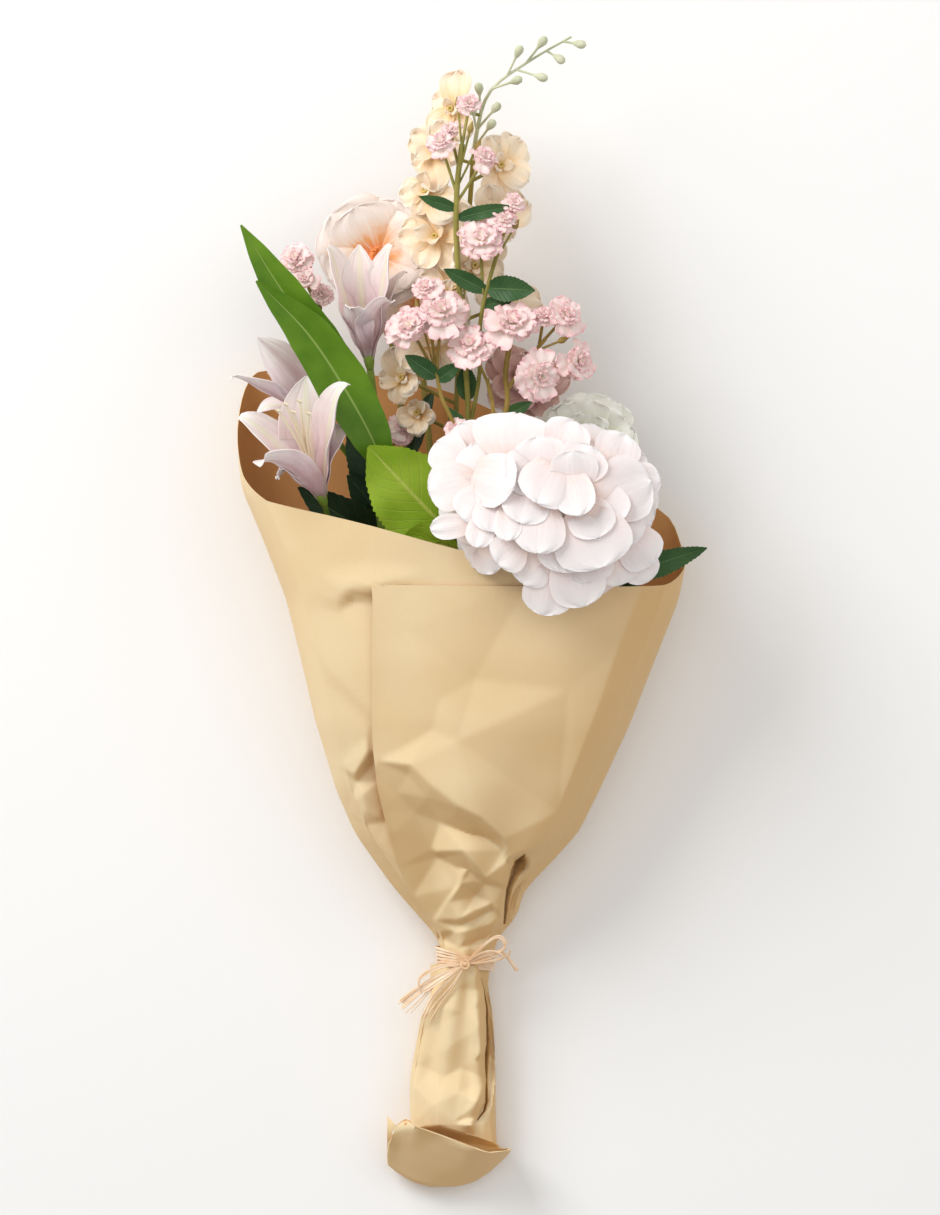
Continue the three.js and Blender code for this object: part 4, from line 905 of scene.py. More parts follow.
def raffia():
    shape = Shape()
    for k in range(WRAPS):
        strand(shape, wrap_round(k), rng.uniform(0.9, 1.5), 0.5)
    # Loose ends: the way from the knot, how many strands, how far they spread, and their width
    for way, count, spread, width in [
        ([(-20, -241, 38), (-35, -250, 34), (-45.5, -258, 32)], 5, 0.9, 1.3),
        ([(-19, -243, 38), (-34, -254, 34), (-44.5, -263, 32)], 4, 0.8, 1.2),
        ([(-14, -245, 38), (-24, -256, 34), (-31, -270, 33)], 3, 0.8, 0.9),
        ([(-11, -247, 38), (-20, -258, 34), (-28, -269, 33)], 2, 1.2, 0.8),
        ([(-20, -245, 37), (-33, -259, 33), (-40, -266, 32)], 2, 1.0, 0.6),
        ([(8, -229, 42), (21, -227, 41), (30, -238, 36)], 4, 0.8, 1.3),
        ([(10, -228, 42), (22, -229, 42), (26, -224, 42), (25, -228, 40)], 1, 0.5, 0.7),
    ]:
        for _ in range(count):
            nudge = rng.normal(0, spread, 3) * (1, 1, 0.4)
            end = [np.array(place) + nudge * (0.4 + 0.5 * i) for i, place in enumerate(way)]
            strand(shape, [KNOT, *end], width * rng.uniform(0.8, 1.15))
    # Loops: the way from the knot and back, and how many strands
    for loop, count in [
        ([(6, -225, 43), (19, -216.5, 44), (24, -222, 44), (16, -229, 42)], 3),
        ([(4, -228, 43), (15, -225, 44), (22, -229, 43), (12, -232, 42)], 2),
        ([(-20, -236, 40), (-33, -244, 38), (-32, -252, 36), (-18, -244, 39)], 3),
    ]:
        for _ in range(count):
            nudge = rng.normal(0, 0.6, 3)
            strand(shape, [KNOT, *(np.array(place) + nudge for place in loop), KNOT], 1.0)
    for k in range(5):
        turn = np.linspace(0, 2.2 * math.pi, 24) + k
        turns = [(1.6 + 0.3 * k) * np.cos(turn), 2.8 * np.sin(turn), 1.2 * np.sin(turn + k) + 0.6]
        strand(shape, KNOT + np.stack(turns, axis=1), 1.3, 0.7)
    shape.tube([KNOT + [-3, 0, 0], KNOT, KNOT + [3, 0.5, 0]], [1.2, 2.4, 1.2], 9)
    return shape.build("raffia_strands", [straw], "raffia_tie", record_slot="raffia")


# Hydrangea
HYDRANGEA_MIDDLE = np.array([49, 62, 104.0])
HYDRANGEA_DOME = (76, 64, 50)
HYDRANGEA_BASE = (44, 34, 76)
HYDRANGEA_AXIS = (0.125, 0.7, 0.7)
FLORETS = [
    (-6, 74, 27), (17, 108, 26), (50, 99, 26), (84, 103, 25), (111, 82, 25), (75, 69, 25), (34, 66, 25),
    (6, 41, 24), (42, 40, 23), (77, 36, 24), (108, 47, 24), (56, 12, 20), (91, 19, 19),
]
# Broad petals that show in front, from the lowest to the topmost: [middle x, middle y, half width,
# half length, direction from its floret in degrees]
FRONT_PETALS = [
    (6, 95, 15, 14, 110), (2, 65, 13, 13, 230), (36, 65, 15, 15, 250), (86, 63, 17, 16, 300), (108, 62, 13, 14, 340),
    (104, 92, 14, 13, 30), (67, 89, 15, 14, 90), (45, 98, 16, 14, 100), (34, 87, 15, 15, 200), (97, 50, 16, 15, 300),
    (60, 35, 16, 15, 260), (-3, 111, 12, 10, 120), (15, 59, 13, 13, 260), (78, 56, 15, 15, 290), (39, 24, 13, 12, 235),
    (74, 28, 18, 15, 270), (110, 26, 12, 13, 300), (-14.5, 99, 13, 13, 135), (-13.5, 78, 16, 16, 195),
    (62.5, 110.5, 15, 13, 60), (28, 112, 26, 16, 80), (95, 102, 15, 13, 65), (73, 94, 16, 13, 60), (111, 81, 12, 14, 0),
    (17.5, 81, 17.5, 17.5, 340), (49.5, 78, 18.5, 17.5, 240), (100, 76, 21, 21, 20), (67, 71.5, 13, 17.5, 280),
    (110, 37, 15, 15, 310), (-12.5, 52, 8, 16, 187), (7, 49, 9, 13, 252), (24.5, 34.5, 13, 11, 222),
    (24.5, 53, 9, 13, 270), (45, 49, 16, 17.5, 265), (95, 23, 13, 11, 280), (50.5, 9.5, 16, 18.5, 255),
    (69, 16, 17.5, 19.5, 288), (79, 42, 25, 20.5, 290),
]


def dome_point(x, y, sink=0.0):
    dx = (x - HYDRANGEA_MIDDLE[0]) / HYDRANGEA_DOME[0]
    dy = (y - HYDRANGEA_MIDDLE[1]) / HYDRANGEA_DOME[1]
    rise = math.sqrt(max(1 - dx * dx - dy * dy, 0.02))
    return np.array([x, y, HYDRANGEA_MIDDLE[2] + HYDRANGEA_DOME[2] * rise - sink])


def hydrangea():
    shape = Shape()
    for x, y, radius in FLORETS:
        place = dome_point(x, y, 13)
        root = HYDRANGEA_MIDDLE * 0.5 + place * 0.5
        root[2] = min(112, place[2] - 22)
        axes = frame_on(place - root, rng.uniform(0, 1.5))
        up = axes[2]
        for k in range(4):
            out = around(axes, k * math.pi / 2 + rng.normal(0, 0.12))
            petal(shape, place, out, up, radius * 0.9, radius * 1.1, BROAD, 8, 6,
                  (rng.uniform(0, 14), rng.uniform(-34, -8)), rng.uniform(-0.1, 0.2), 0.8, 2.0,
                  rng.uniform(0, 6), 0.5)
        shape.tube(np.linspace(root, place, 4), 1.2, 6, 1)
        shape.tube([place - up, place + up * 0.8, place + up * 2.0], [1.2, 2.2, 0.6], 7, 2)
    for order, (x, y, half_width, half_length, direction) in enumerate(FRONT_PETALS):
        way = np.array([math.cos(math.radians(direction)), math.sin(math.radians(direction))])
        lift = 5.0 * order / len(FRONT_PETALS) - 2.0
        start = dome_point(*(np.array([x, y]) - way * half_length * 1.25), 4.0 - lift)
        middle = dome_point(x, y, -1.0 - lift)
        middle[2] = max(middle[2], start[2] - 0.35 * half_length)
        slope = unit((middle - HYDRANGEA_MIDDLE) / np.array(HYDRANGEA_DOME) ** 2)
        out = middle - start
        length = np.linalg.norm(out) + half_length * 0.85
        petal(shape, start, out, slope + [0, 0, 1.3], length, half_width * 2.1, BROAD, 12, 12,
              (6 + rng.uniform(0, 5), -rng.uniform(2, 9)), rng.uniform(-0.08, 0.05), 0.6, 2.0,
              rng.uniform(0, 6), 0.5, 0.012)
    core = [HYDRANGEA_MIDDLE + [0, 0, k] for k in (-22, -10, 4, 16, 24)]
    shape.tube(core, [12, 30, 33, 24, 8], 14)
    shape.tube(np.linspace(HYDRANGEA_BASE, HYDRANGEA_MIDDLE - [0, 0, 18], 4), 3.2, 8, 1)
    return shape.build("hydrangea_florets", [hydrangea_petal, green_stem, stamen_cream], "hydrangea_head",
                       record_slot="hydrangea_petals")


def hydrangea_leaves():
    shape = Shape()
    stem(shape, from_neck("hydrangea", [(24, -80, 44), *reach(HYDRANGEA_BASE, HYDRANGEA_AXIS, 26)]), 2.6, 1)
    stem(shape, [(34, -30, 52), (16, 20, 84), (-14, 49, 99)], 1.6, 1, 20)
    stem(shape, [(34, -32, 50), (18, 10, 76), (-4, 36, 92)], 1.5, 1, 20)
    blade(shape, [(-12, 47, 98), (-36, 72, 106), (-65.7, 104, 116)], 29, OVATE, [(0.1, -0.2, 1)], 44, 10,
          0.12, 0.05, 1.4, 2.5, 1.2, 0.6)
    blade(shape, [(-2, 35, 92), (-24, 42, 100), (-48, 40, 102)], 17, OVATE, [(0.1, -0.2, 1)], 36, 8,
          0.12, 0.05, 1.0, 2.5, 0.9, 0.6)
    return shape.build("hydrangea_leaves", [lime_leaf, green_stem], "hydrangea_stem", record_slot="lime_leaves")


# Nested ruffled blooms

def rings_of_petals(shape, base, axes, rings, outline, cup, ruffle, waves, rows, columns, radius, frill=0.0,
                    vary=0.1, wild=5.0):
    """Each ring is [how many petals, how far up the axis, length, width, bend, turn]."""
    for count, start, length, width, bend, turn in rings:
        for k in range(count):
            out = around(axes, turn + 2 * math.pi * k / count + rng.normal(0, 0.08))
            origin = np.asarray(base, float) + axes[2] * start + out * radius
            size = 1 + rng.normal(0, vary) * 0.6
            tilt = rng.normal(0, wild)
            petal(shape, origin, out, axes[2], length * size, width * size, outline, rows, columns,
                  (bend[0] + tilt, bend[1] + tilt), cup, ruffle, waves, rng.uniform(0, 6), 0.45, frill)


def calyx(shape, base, up, rises, radii):
    shape.tube([np.array(base) + up * rise for rise in rises], radii, 10, 1)


WHITE_ROSE_BASE = (80, 109, 53)
WHITE_ROSE_AXIS = (-0.15, -0.26, 1)


def white_rose():
    shape = Shape()
    axes = frame_on(WHITE_ROSE_AXIS)
    rings_of_petals(shape, WHITE_ROSE_BASE, axes, [
        (6, 14, 33, 36, (24, -10), 0.0), (6, 18, 30, 33, (32, 0), 0.5), (5, 22, 26, 29, (42, 12), 0.1),
        (5, 25, 21, 24, (54, 30), 0.7), (4, 28, 17, 19, (68, 50), 0.2), (3, 30, 13, 14, (82, 70), 0.4),
    ], FAN, 0.18, 1.8, 2.0, 10, 14, 3.0, 0.025)
    calyx(shape, WHITE_ROSE_BASE, axes[2], (0, 6, 14, 22), (3, 7, 8, 5))
    return shape.build("white_rose_petals", [white_petal, green_stem], "white_rose_bloom",
                       record_slot="white_rose_petals")


def white_rose_leaves():
    shape = Shape()
    seat = reach(WHITE_ROSE_BASE, WHITE_ROSE_AXIS, 14)
    stem(shape, from_neck("white_rose", [(30, -80, 34), (60, 40, 40), *seat]), 2.2, 1)
    stem(shape, [(42, -30, 37), (66, -16, 58), (86, 10, 84), (98, 18, 97)], 1.4, 1, 24)
    blade(shape, [(86, 9, 84), (103, 18, 89), (120, 26, 90)], 9, OVATE, [(-0.3, 0.1, 1)], 30, 6,
          0.25, 0.08, 0.6, 2, 0.6)
    blade(shape, [(97, 17, 95), (125, 29, 97), (154, 38.4, 95)], 9, LANCE, [(0.1, -0.3, 1)], 40, 6,
          0.25, 0.1, 0.6, 2, 0.6)
    return shape.build("white_rose_leaves", [rose_leaf, green_stem], "white_rose_stem", record_slot="dark_leaves")


# Lilies: base, axis, tepals and the tips of the stamens. A tepal is [direction of the side that it stands
# on, its tip, half width, outward curl of the tip].
LILIES = {
    "front": ((-94.6, 66.3, 91), (-0.28, 0.82, 0.5), [
        ((-0.3, -0.55, 0.8), (-135, 95, 120), 13, 5), ((0.8, 0.1, -0.3), (-85, 141, 131), 15, 6),
        ((-0.8, 0.2, -0.3), (-146, 123, 114), 13, 4), ((-0.1, 0.4, -0.8), (-106, 150, 103), 16, 0),
        ((-0.6, -0.3, -0.5), (-124, 84, 92), 8, 2), ((0.7, 0.1, -0.6), (-76, 118, 99), 10, 0)],
        [(-110, 133, 128), (-114, 126, 130), (-124, 127, 124), (-104, 125, 132), (-119, 131, 126)]),
    "middle": ((-86, 108, 60), (-0.5, 0.78, 0.36), [
        ((0.2, 0.5, 0.8), (-138, 175, 94), 14, 0), ((-0.6, -0.4, 0.6), (-154, 151, 88), 9, 3),
        ((-0.6, -0.5, -0.5), (-138, 128, 62), 9, 2), ((0, 0.3, -0.9), (-130, 160, 58), 9, 0),
        ((0.8, 0.4, -0.2), (-102, 172, 70), 12, 0)], [(-130, 152, 82), (-127, 157, 74)]),
    "upper": ((-65, 155, 84), (-0.12, 0.97, 0.2), [
        ((-0.65, 0, -0.4), (-91, 234, 96), 15, 2), ((0.55, 0, -0.3), (-52, 235, 99), 15, 2),
        ((0.8, 0, -0.3), (-43, 218, 88), 9, 2), ((-0.4, -0.1, 0.9), (-77, 194, 112), 9, 2),
        ((0.5, -0.1, 0.8), (-51, 198, 109), 11, 2), ((-0.1, 0, -0.9), (-72, 236, 84), 12, 0)], []),
}
LILY_STALKS = {"front": 22, "middle": 20, "upper": 26}


def lily(name):
    base, axis, tepals, stamens = LILIES[name]
    shape = Shape()
    root, forward = np.array(base), unit(axis)
    for side, tip, half, curl in tepals:
        side = np.asarray(side, float)
        side = unit(side - forward * np.dot(side, forward))
        tip = np.array(tip, float)
        body = bezier(root + forward * 6 + side * 2.2, root + forward * 46 + side * 15, tip, 9)
        inward = forward * 0.35 - side
        if curl:
            back = unit(tip - body[-3]) * 1.5
            out = side * curl
            body = np.vstack([body[:-1], tip - back + out * 0.3, tip + out, tip + out * 1.5 - back])
        blade(shape, body, half * 1.16, TEPAL, [inward, inward + forward * 0.6], 30, 10,
              0.34, 0, 1.5, 2.2, -0.9, 0.6, 0, 3)
    calyx(shape, root, forward, (0, 3, 8, 16), (2.4, 3.2, 4.0, 2.6))
    for tip in stamens:
        tip = np.array(tip, float)
        middle = (root + forward * 38) * 0.7 + tip * 0.3
        line = curve_through([root + forward * 12, middle, tip], 14)
        shape.tube(line, np.linspace(1.2, 0.95, 14), 6, 2)
        shape.tube([tip - [1.8, -0.6, 0], tip, tip + [1.8, -0.6, 0.3]], [0.7, 1.3, 0.7], 6, 2)
    return shape.build(f"lily_tepals_{name}", [lily_inner, green_stem, stamen_cream, lily_outer],
                       f"lily_bloom_{name}", record_slot="lily_petals")


def lily_leaves():
    shape = Shape()
    seat = {name: reach(*LILIES[name][:2], distance) for name, distance in LILY_STALKS.items()}
    stem(shape, from_neck("lily", [(-40, -60, 56), (-58, 50, 72), *seat["upper"]]), 2.4, 1)
    stem(shape, [(-52, 0, 66), *seat["front"]], 1.9, 1, 20)
    stem(shape, [(-51, -4, 64.5), (-59, 34, 51), *seat["middle"]], 1.9, 1, 24)
    stem(shape, [(-57, 40, 71), (-54, 64, 88), (-53, 84, 101)], 1.9, 1, 20)
    stem(shape, [(-58, 70, 73), (-56, 96, 84), (-62, 116, 94)], 1.8, 1, 20)
    for path, half in [
        ([(-53, 80, 98), (-62, 106, 104), (-79, 138, 109), (-105, 177, 121), (-138, 210.5, 131)], 17.5),
        ([(-61, 112, 92), (-75, 140, 103), (-97.5, 170, 110), (-125, 210, 117), (-148.2, 247, 122)], 15),
    ]:
        blade(shape, path, half, LANCE, [(0.15, -0.1, 1)], 46, 10, 0.12, 0, 1.2, 1.5, 1.2, 0.6)
    return shape.build("lily_leaves", [bright_leaf, green_stem], "lily_stem", record_slot="lily_leaves")


# Peach blooms with an orange heart: base, axis, radius, and the slot and bend of the stem
POPPIES = {
    "large": ((-59.5, 227, 46), (-0.05, 0.3, 0.95), 38, "large_poppy", (-44, 120, 20)),
    "small": ((-32.5, 190, 28), (0.1, 0.3, 0.95), 29, "small_poppy", (-26, 100, 17)),
}


def poppy(name):
    base, axis, radius = POPPIES[name][:3]
    shape = Shape()
    axes = frame_on(axis)
    outer, inner = radius * 0.98, radius * 0.86
    rings_of_petals(shape, base, axes, [
        (5, 6, outer, outer * 1.45, (22, 6), 0.0), (4, 9, inner, inner * 1.45, (34, 16), 0.5),
    ], BROAD, 0.05, 0.8, 3.2, 16, 36, 2.5, 0.016)
    up = axes[2]
    calyx(shape, base, up, (0, 5, 10, 14), (2.8, 5, 6.5, 4.5))
    for k in range(14):
        out = around(axes, k * 2.4) * (1.0 + 3.0 * math.sqrt(k / 14))
        foot = np.array(base) + up * 10 + out * 0.6
        shape.tube([foot, foot + up * 4 + out * 0.3, foot + up * 6 + out * 0.5], [0.5, 0.5, 0.8], 5, 2)
    return shape.build(f"peach_bloom_{name}", [poppy_petal, poppy_heart, poppy_heart], f"poppy_bloom_{name}",
                       record_slot="peach_petals")


def poppy_stem(name):
    base, axis, _, slot, low = POPPIES[name]
    shape = Shape()
    stem(shape, from_neck(slot, [low, *reach(base, axis, 13)]), 2.2)
    return shape.build(f"peach_stem_{name}", [olive_stem], f"poppy_stem_{name}", record_slot="green_stems")


# Delphinium
SPIKE = [(-12, -60, 36), (-10, 60, 43), (-9, 130, 47), (-5, 200, 53), (0, 265, 60), (4.5, 310, 67), (13, 336, 74),
         (39, 355.6, 82), (66, 371, 86)]
SPIKE_FLORETS = [
    (19, 287, 84, 21), (-11, 324, 84, 17), (-22, 297, 82, 18), (-28, 271, 82, 20), (-22, 241, 84, 20),
    (14, 252, 86, 20), (3, 222, 88, 18), (20, 196, 84, 18), (-16, 205, 86, 18), (-24, 174, 80, 18),
    (-43, 149, 74, 17), (-33, 126, 68, 14),
]
SPIKE_BUDS = [
    (13, 313, 82, 300), (16, 324, 84, 312), (2, 322, 86, 310), (6, 336, 84, 322), (29, 342, 88, 338),
    (31, 360, 88, 346), (45, 345, 88, 350), (46, 366, 90, 354), (57, 357, 90, 362), (70, 366, 92, 368),
]


def leaning(root, place, share):
    return unit(np.asarray(place, float) - root) * (1 - share) + np.array([0, 0, share])


def teardrop(shape, place, direction, length, radius, slot):
    direction = unit(direction)
    rises = (-0.5, -0.35, -0.1, 0.15, 0.35, 0.47, 0.5)
    widths = (0.18, 0.3, 0.7, 1.0, 0.85, 0.4, 0.1)
    shape.tube([place + direction * length * rise for rise in rises], [radius * w for w in widths], 8, slot)


def delphinium():
    shape = Shape()
    path = from_neck("delphinium", SPIKE)
    line = curve_through(path, 90)
    thick = np.interp(line[:, 1], (-306, 290, 330, 371), (2, 1.7, 1.2, 0.7))
    pale = np.searchsorted(line[:, 1], 285)
    shape.tube(line[:pale + 1], thick[:pale + 1], 8, 1)
    shape.tube(line[pale:], thick[pale:], 8, 2)
    on_axis = lambda y: np.array([np.interp(y, line[:, 1], line[:, 0]), y, np.interp(y, line[:, 1], line[:, 2])])
    for x, y, z, radius in SPIKE_FLORETS:
        place = np.array([x, y, z], float)
        root = on_axis(y - 0.4 * abs(x + 3))
        axes = frame_on(leaning(root, place, 0.4), rng.uniform(0, 1))
        neck = place - axes[2] * 5
        shape.tube(curve_through([root, (root + neck) / 2 + [0, 0, -1], neck, place - axes[2]], 12), 1.2, 6, 1)
        bend = (rng.uniform(10, 34), rng.uniform(-22, 6))
        outer = (5, -1.5, radius * 1.06, radius * 1.04, bend, rng.uniform(0, 1.2))
        rings_of_petals(shape, place, axes, [outer], BROAD, 0.16, 2.3, 2.2, 10, 12, 1.0, 0.035, 0.4, 15)
        inner = (3, 0.5, radius * 0.5, radius * 0.42, (62, 34), rng.uniform(0, 1.2))
        rings_of_petals(shape, place, axes, [inner], TEPAL, 0.3, 0.9, 2.0, 6, 6, 0.8, vary=0.4)
        for k in range(7):
            tip = place + axes[2] * 4 + around(axes, k * 0.9) * 1.6
            shape.tube([place + axes[2] * 0.5, tip], [0.5, 0.9], 5, 3)
    for x, y, z, root_y in SPIKE_BUDS:
        place, root = np.array([x, y, z], float), on_axis(root_y)
        direction = unit(place - root)
        shape.tube([root, (root + place) / 2, place - direction * 2], [0.9, 0.8, 0.9], 6, 2)
        teardrop(shape, place + direction * 0.4, direction, 12.0, 3.1, 2)
    return shape.build("delphinium_florets", [cream_petal, olive_stem, sage, pollen], "delphinium_spike",
                       record_slot="cream_florets")


# Sprays of small double roses. A flower is [x, y, z, size, x, y and z where it leaves the stem], a bud is
# the same without a size, and a leaf is [base, tip, half width].
SPRAYS = {
    "spray_rose_tall": dict(
        slot="tall_spray",
        path=[(-1, -40, 50), (-4, 60, 72), (-1, 121, 88), (-5.6, 190, 98), (-9, 245, 106), (-8, 277, 108),
              (-5, 300, 109.5)],
        branches=[[(-1, 112, 86), (6, 150, 93), (7, 187, 102), (12.6, 212, 105), (20, 236, 108)]],
        flowers=[
            (-0.3, 326, 111, 16, -5.3, 298, 109.4), (-19, 301, 112, 16, -8.6, 268, 107.6),
            (-13, 309, 106, 12, -7, 284, 108.5), (10, 291, 112, 16, -8.6, 262, 107.2),
            (6.7, 238, 114, 27, 8.5, 203, 104.3), (23, 251, 110, 16, 18.5, 233, 107.6),
            (29, 262, 107, 13, 19.5, 235, 107.8)],
        buds=[(-8, 326, 108, -5.3, 298, 109.4), (0.4, 310, 114, -8, 277, 108), (5, 299, 108, -8.3, 272, 107.8),
              (29.4, 247, 110, 16, 224, 106.4)],
        leaves=[((-8.6, 258, 107), (-33, 266, 110), 4.5), ((-8.8, 252, 106.5), (26.5, 260, 110), 5),
                ((10.5, 205, 104), (-17, 219, 109), 6), ((10.8, 207, 104.3), (42, 205, 113), 9),
                ((8, 196, 103), (27, 198, 103), 5), ((-1.6, 134, 89.5), (-3, 158, 84), 7)]),
    "spray_rose_front": dict(
        slot="front_spray",
        path=[(0, -40, 62), (2, 50, 82), (6, 92, 98), (24, 130, 105), (23, 151, 108), (26, 172, 110)],
        branches=[
            [(5, 86, 96), (-12.4, 123, 104), (-18.7, 137, 106), (-21.5, 152, 108)],
            [(10, 101, 100), (15, 126, 106), (11, 148, 112)],
            [(23.7, 140, 106.7), (35, 157, 108), (49, 174, 110)]],
        flowers=[
            (-38.6, 181, 119, 26, -21.5, 150, 107.6), (-19, 191, 117, 28, -21.5, 151, 108),
            (-29, 207, 109, 16, -21.5, 150, 107.8), (0.2, 170, 119, 25, 11.3, 146, 111.5),
            (27, 184, 115, 29, 24.5, 163, 109.3), (46, 149, 124, 27, 32, 152, 107.6),
            (70.3, 159, 112, 24, 30, 149, 107.5), (62.4, 189, 113, 22, 46, 171, 109.6),
            (48, 189, 109, 15, 44.5, 168, 109.3), (-10, 116, 104, 13, 7, 95, 98.5)],
        buds=[(-34, 195, 112, -21.5, 149, 107.5), (60, 173, 111, 43, 166, 109.2)],
        leaves=[((-21.3, 149, 107.5), (-42, 163, 112), 6.5), ((-21.3, 147, 107.5), (-7, 157, 111), 5.5),
                ((8, 97, 99), (-15, 130, 97), 7), ((20, 122, 103), (40, 133, 106), 5)]),
    "spray_rose_far_left": dict(
        slot="far_spray",
        path=[(-30, -60, 40), (-64, 60, 38), (-84, 150, 36), (-98, 190, 56), (-103.5, 206, 68)],
        branches=[],
        flowers=[(-114, 227, 74, 20, -102, 202, 65), (-108, 214, 80, 13, -100, 196, 60),
                 (-97, 204, 72, 14, -98, 189, 55), (-45.5, 116, 60, 17, -66, 72, 38)],
        buds=[(-104, 226, 72, -103, 204, 66.6)],
        leaves=[((-90, 168, 44), (-112, 190, 50), 8)]),
}
# Rings of a rose whose size is 1
ROSE_RINGS = [
    (6, -0.1, 0.53, 0.56, (18, -16), 0.0), (5, -0.05, 0.44, 0.5, (32, 2), 0.4),
    (5, -0.01, 0.32, 0.4, (50, 24), 0.2), (4, 0.03, 0.22, 0.3, (70, 56), 0.5),
]


def spray_rose(shape, x, y, z, size, *root):
    place, root = np.array([x, y, z], float), np.array(root, float)
    axes = frame_on(leaning(root, place, 0.5), rng.uniform(0, 6))
    up = axes[2]
    neck = place - up * 0.4 * size
    shape.tube(curve_through([root, root * 0.45 + neck * 0.55 - [0, 0, 1.5], neck], 14), 1.05, 7, 1)
    shape.tube([neck - up * 0.5, neck + up * 0.08 * size, neck + up * 0.22 * size, place - up * 0.06 * size],
               [0.9, 0.1 * size, 0.12 * size, 0.1 * size], 8, 1)
    rings = [(count, start * size, length * size, width * size, bend, turn)
             for count, start, length, width, bend, turn in ROSE_RINGS]
    rings_of_petals(shape, place, axes, rings, FAN, 0.16, 0.045 * size, 2.0, 6, 8, 0.03 * size, 0.05, 0.3)


def rose_bud(shape, x, y, z, *root):
    place, root = np.array([x, y, z], float), np.array(root, float)
    direction = unit(place - root)
    shape.tube(curve_through([root, (root + place) / 2 - [0, 0, 1], place - direction * 2.5], 8), 0.75, 6, 1)
    rises, widths = (-3.4, -1.6, 0.2, 2.6, 5.0), (0.8, 2.0, 2.2, 1.2, 0.15)
    shape.tube([place + direction * rise for rise in rises], widths, 8, 3)


def arched_leaf(shape, base, tip, half, facing, wide, *look):
    """A blade from base to tip whose middle is lifted a little the way it faces."""
    base, tip = np.array(base, float), np.array(tip, float)
    middle = (base + tip) / 2 + np.array(facing) * half * 0.15
    blade(shape, [base, middle, tip], half * wide, OVATE, [facing], *look)


def spray(name):
    details = SPRAYS[name]
    shape = Shape()
    stem(shape, from_neck(details["slot"], details["path"]), 1.9, 1, 80)
    for branch in details["branches"]:
        stem(shape, branch, 1.35, 1, 20, 7)
    for flower in details["flowers"]:
        spray_rose(shape, *flower)
    for bud in details["buds"]:
        rose_bud(shape, *bud)
    for base, tip, half in details["leaves"]:
        arched_leaf(shape, base, tip, half, (0, 0, 1), 1.0, 24, 6, 0.2, 0.07, 0.5, 2, 0.5, 0.6, 2)
    stem_look = brown_stem if "front" in name else olive_stem
    return shape.build(f"{name}_flowers", [rose_petal, stem_look, rose_leaf, bud_brown], name,
                       record_slot="spray_roses")


DUSTY_PINK_BASE = (34, 142, 46)
DUSTY_PINK_AXIS = (0.12, 0.35, 0.93)


def dusty_pink():
    shape = Shape()
    axes = frame_on(DUSTY_PINK_AXIS)
    rings_of_petals(shape, DUSTY_PINK_BASE, axes, [
        (7, 5, 28, 22, (36, 6), 0.0), (6, 9, 24, 19, (50, 22), 0.3), (6, 13, 19, 16, (64, 42), 0.1),
        (5, 16, 14, 12, (80, 66), 0.4),
    ], ROUND, 0.25, 1.4, 2.0, 8, 8, 2.5)
    calyx(shape, DUSTY_PINK_BASE, axes[2], (0, 6, 14, 20), (2.8, 6, 6, 3))
    return shape.build("dusty_pink_petals", [dusty_petal, green_stem], "dusty_pink_bloom",
                       record_slot="dusty_pink_petals")


def dusty_pink_stem():
    shape = Shape()
    seat = reach(DUSTY_PINK_BASE, DUSTY_PINK_AXIS, 13)
    stem(shape, from_neck("dusty_pink", [(14, -60, 20), (28, 70, 24), *seat]), 1.9)
    return shape.build("dusty_pink_stalk", [olive_stem], "dusty_pink_stem", record_slot="green_stems")


def dark_leaves():
    shape = Shape()
    stem(shape, from_neck("foliage", [(-20, -80, 40), (-38, 20, 50), (-43, 60, 53), (-37, 100, 51)]), 1.9, 1)
    for base, tip, half, facing in [
        ((-41, 40, 51), (-80, 86, 73), 12, (0.2, -0.3, 1)), ((-40, 32, 51), (-112, 78, 77), 15, (0.1, -0.4, 1)),
        ((-43, 56, 53), (-36, 96, 72), 12, (-0.3, -0.2, 1)), ((-45, 57, 53), (-79, 121, 68), 15, (-0.2, -0.3, 1)),
    ]:
        arched_leaf(shape, base, tip, half, facing, 1.12, 34, 8, 0.2, 0.06, 0.8, 2, 0.8, 0.6)
    blade(shape, [(-38, 97, 51), (-33, 120, 45), (-24, 142, 38)], 7.5, LANCE, [(-0.5, 0.3, 1)], 24, 6,
          0.3, 0, 0, 1, 0.5, 0.6)
    return shape.build("dark_leaves", [dark_leaf, olive_stem], "dark_foliage", record_slot="dark_leaves")


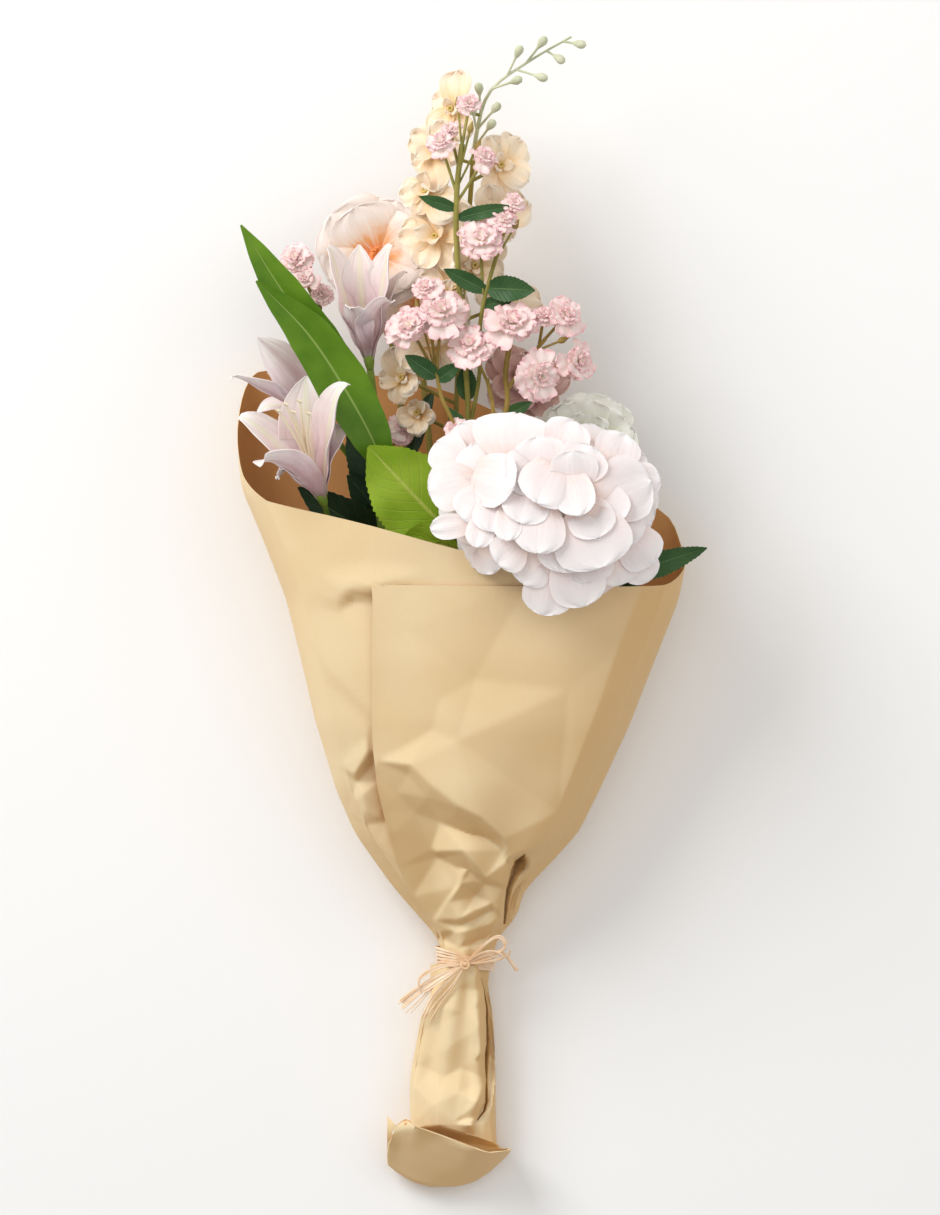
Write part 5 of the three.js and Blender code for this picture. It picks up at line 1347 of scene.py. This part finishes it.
wrapper()
raffia()
hydrangea()
hydrangea_leaves()
white_rose()
white_rose_leaves()
for lily_name in LILIES:
    lily(lily_name)
lily_leaves()
for poppy_name in POPPIES:
    poppy(poppy_name)
    poppy_stem(poppy_name)
delphinium()
for spray_name in SPRAYS:
    spray(spray_name)
dusty_pink()
dusty_pink_stem()
dark_leaves()


# Floor, light and camera

def plain_floor():
    mesh = bpy.data.meshes.new("floor")
    half = 6.0
    corners = [(-half, -half, 0), (half, -half, 0), (half, half, 0), (-half, half, 0)]
    mesh.from_pydata(corners, [], [(0, 1, 2, 3)])
    floor = linked("floor", mesh)
    n = Nodes("floor_white", 0.9, specular=0.1)
    mesh.materials.append(n.color((0.96, 0.96, 0.96, 1)))


# Where the lights aim, in metres
BOUQUET_MIDDLE = (0, 0, 0.05)


def area_light(name, place, size, power):
    light = bpy.data.lights.new(name, "AREA")
    light.size = size
    light.energy = power
    lamp = linked(name, light)
    lamp.location = place
    lamp.rotation_euler = (Vector(BOUQUET_MIDDLE) - Vector(place)).to_track_quat("-Z", "Y").to_euler()


def soft_light():
    bpy.context.scene.view_settings.view_transform = "Standard"
    world = bpy.data.worlds.new("studio")
    bpy.context.scene.world = world
    world.use_nodes = True
    background = world.node_tree.nodes["Background"]
    background.inputs["Color"].default_value = (1, 0.975, 0.935, 1)
    background.inputs["Strength"].default_value = 0.46
    area_light("key", (-2.0, 2.0, 1.85), 1.9, 80)
    area_light("top", (-0.2, 0.4, 3.4), 2.4, 14)
    area_light("fill", (1.9, 0.9, 2.3), 2.4, 16)


def camera():
    """Looks straight down from far away. The photo's frame is 940 x 1215 and its height spans 790 mm at the
    level of the blooms."""
    height, bloom_level, half_view, sensor = 6.0, 0.09, 0.3949, 24
    data = bpy.data.cameras.new("camera")
    eye = linked("camera", data)
    eye.location = (ORIGIN_SHIFT[0] * MILLIMETRE, ORIGIN_SHIFT[1] * MILLIMETRE - 0.0003, height)
    eye.rotation_euler = (0, 0, 0)
    data.sensor_fit = "VERTICAL"
    data.sensor_height = sensor
    data.lens = sensor / 2 / (half_view / (height - bloom_level))
    data.clip_end = 60
    bpy.context.scene.camera = eye


plain_floor()
soft_light()
camera()
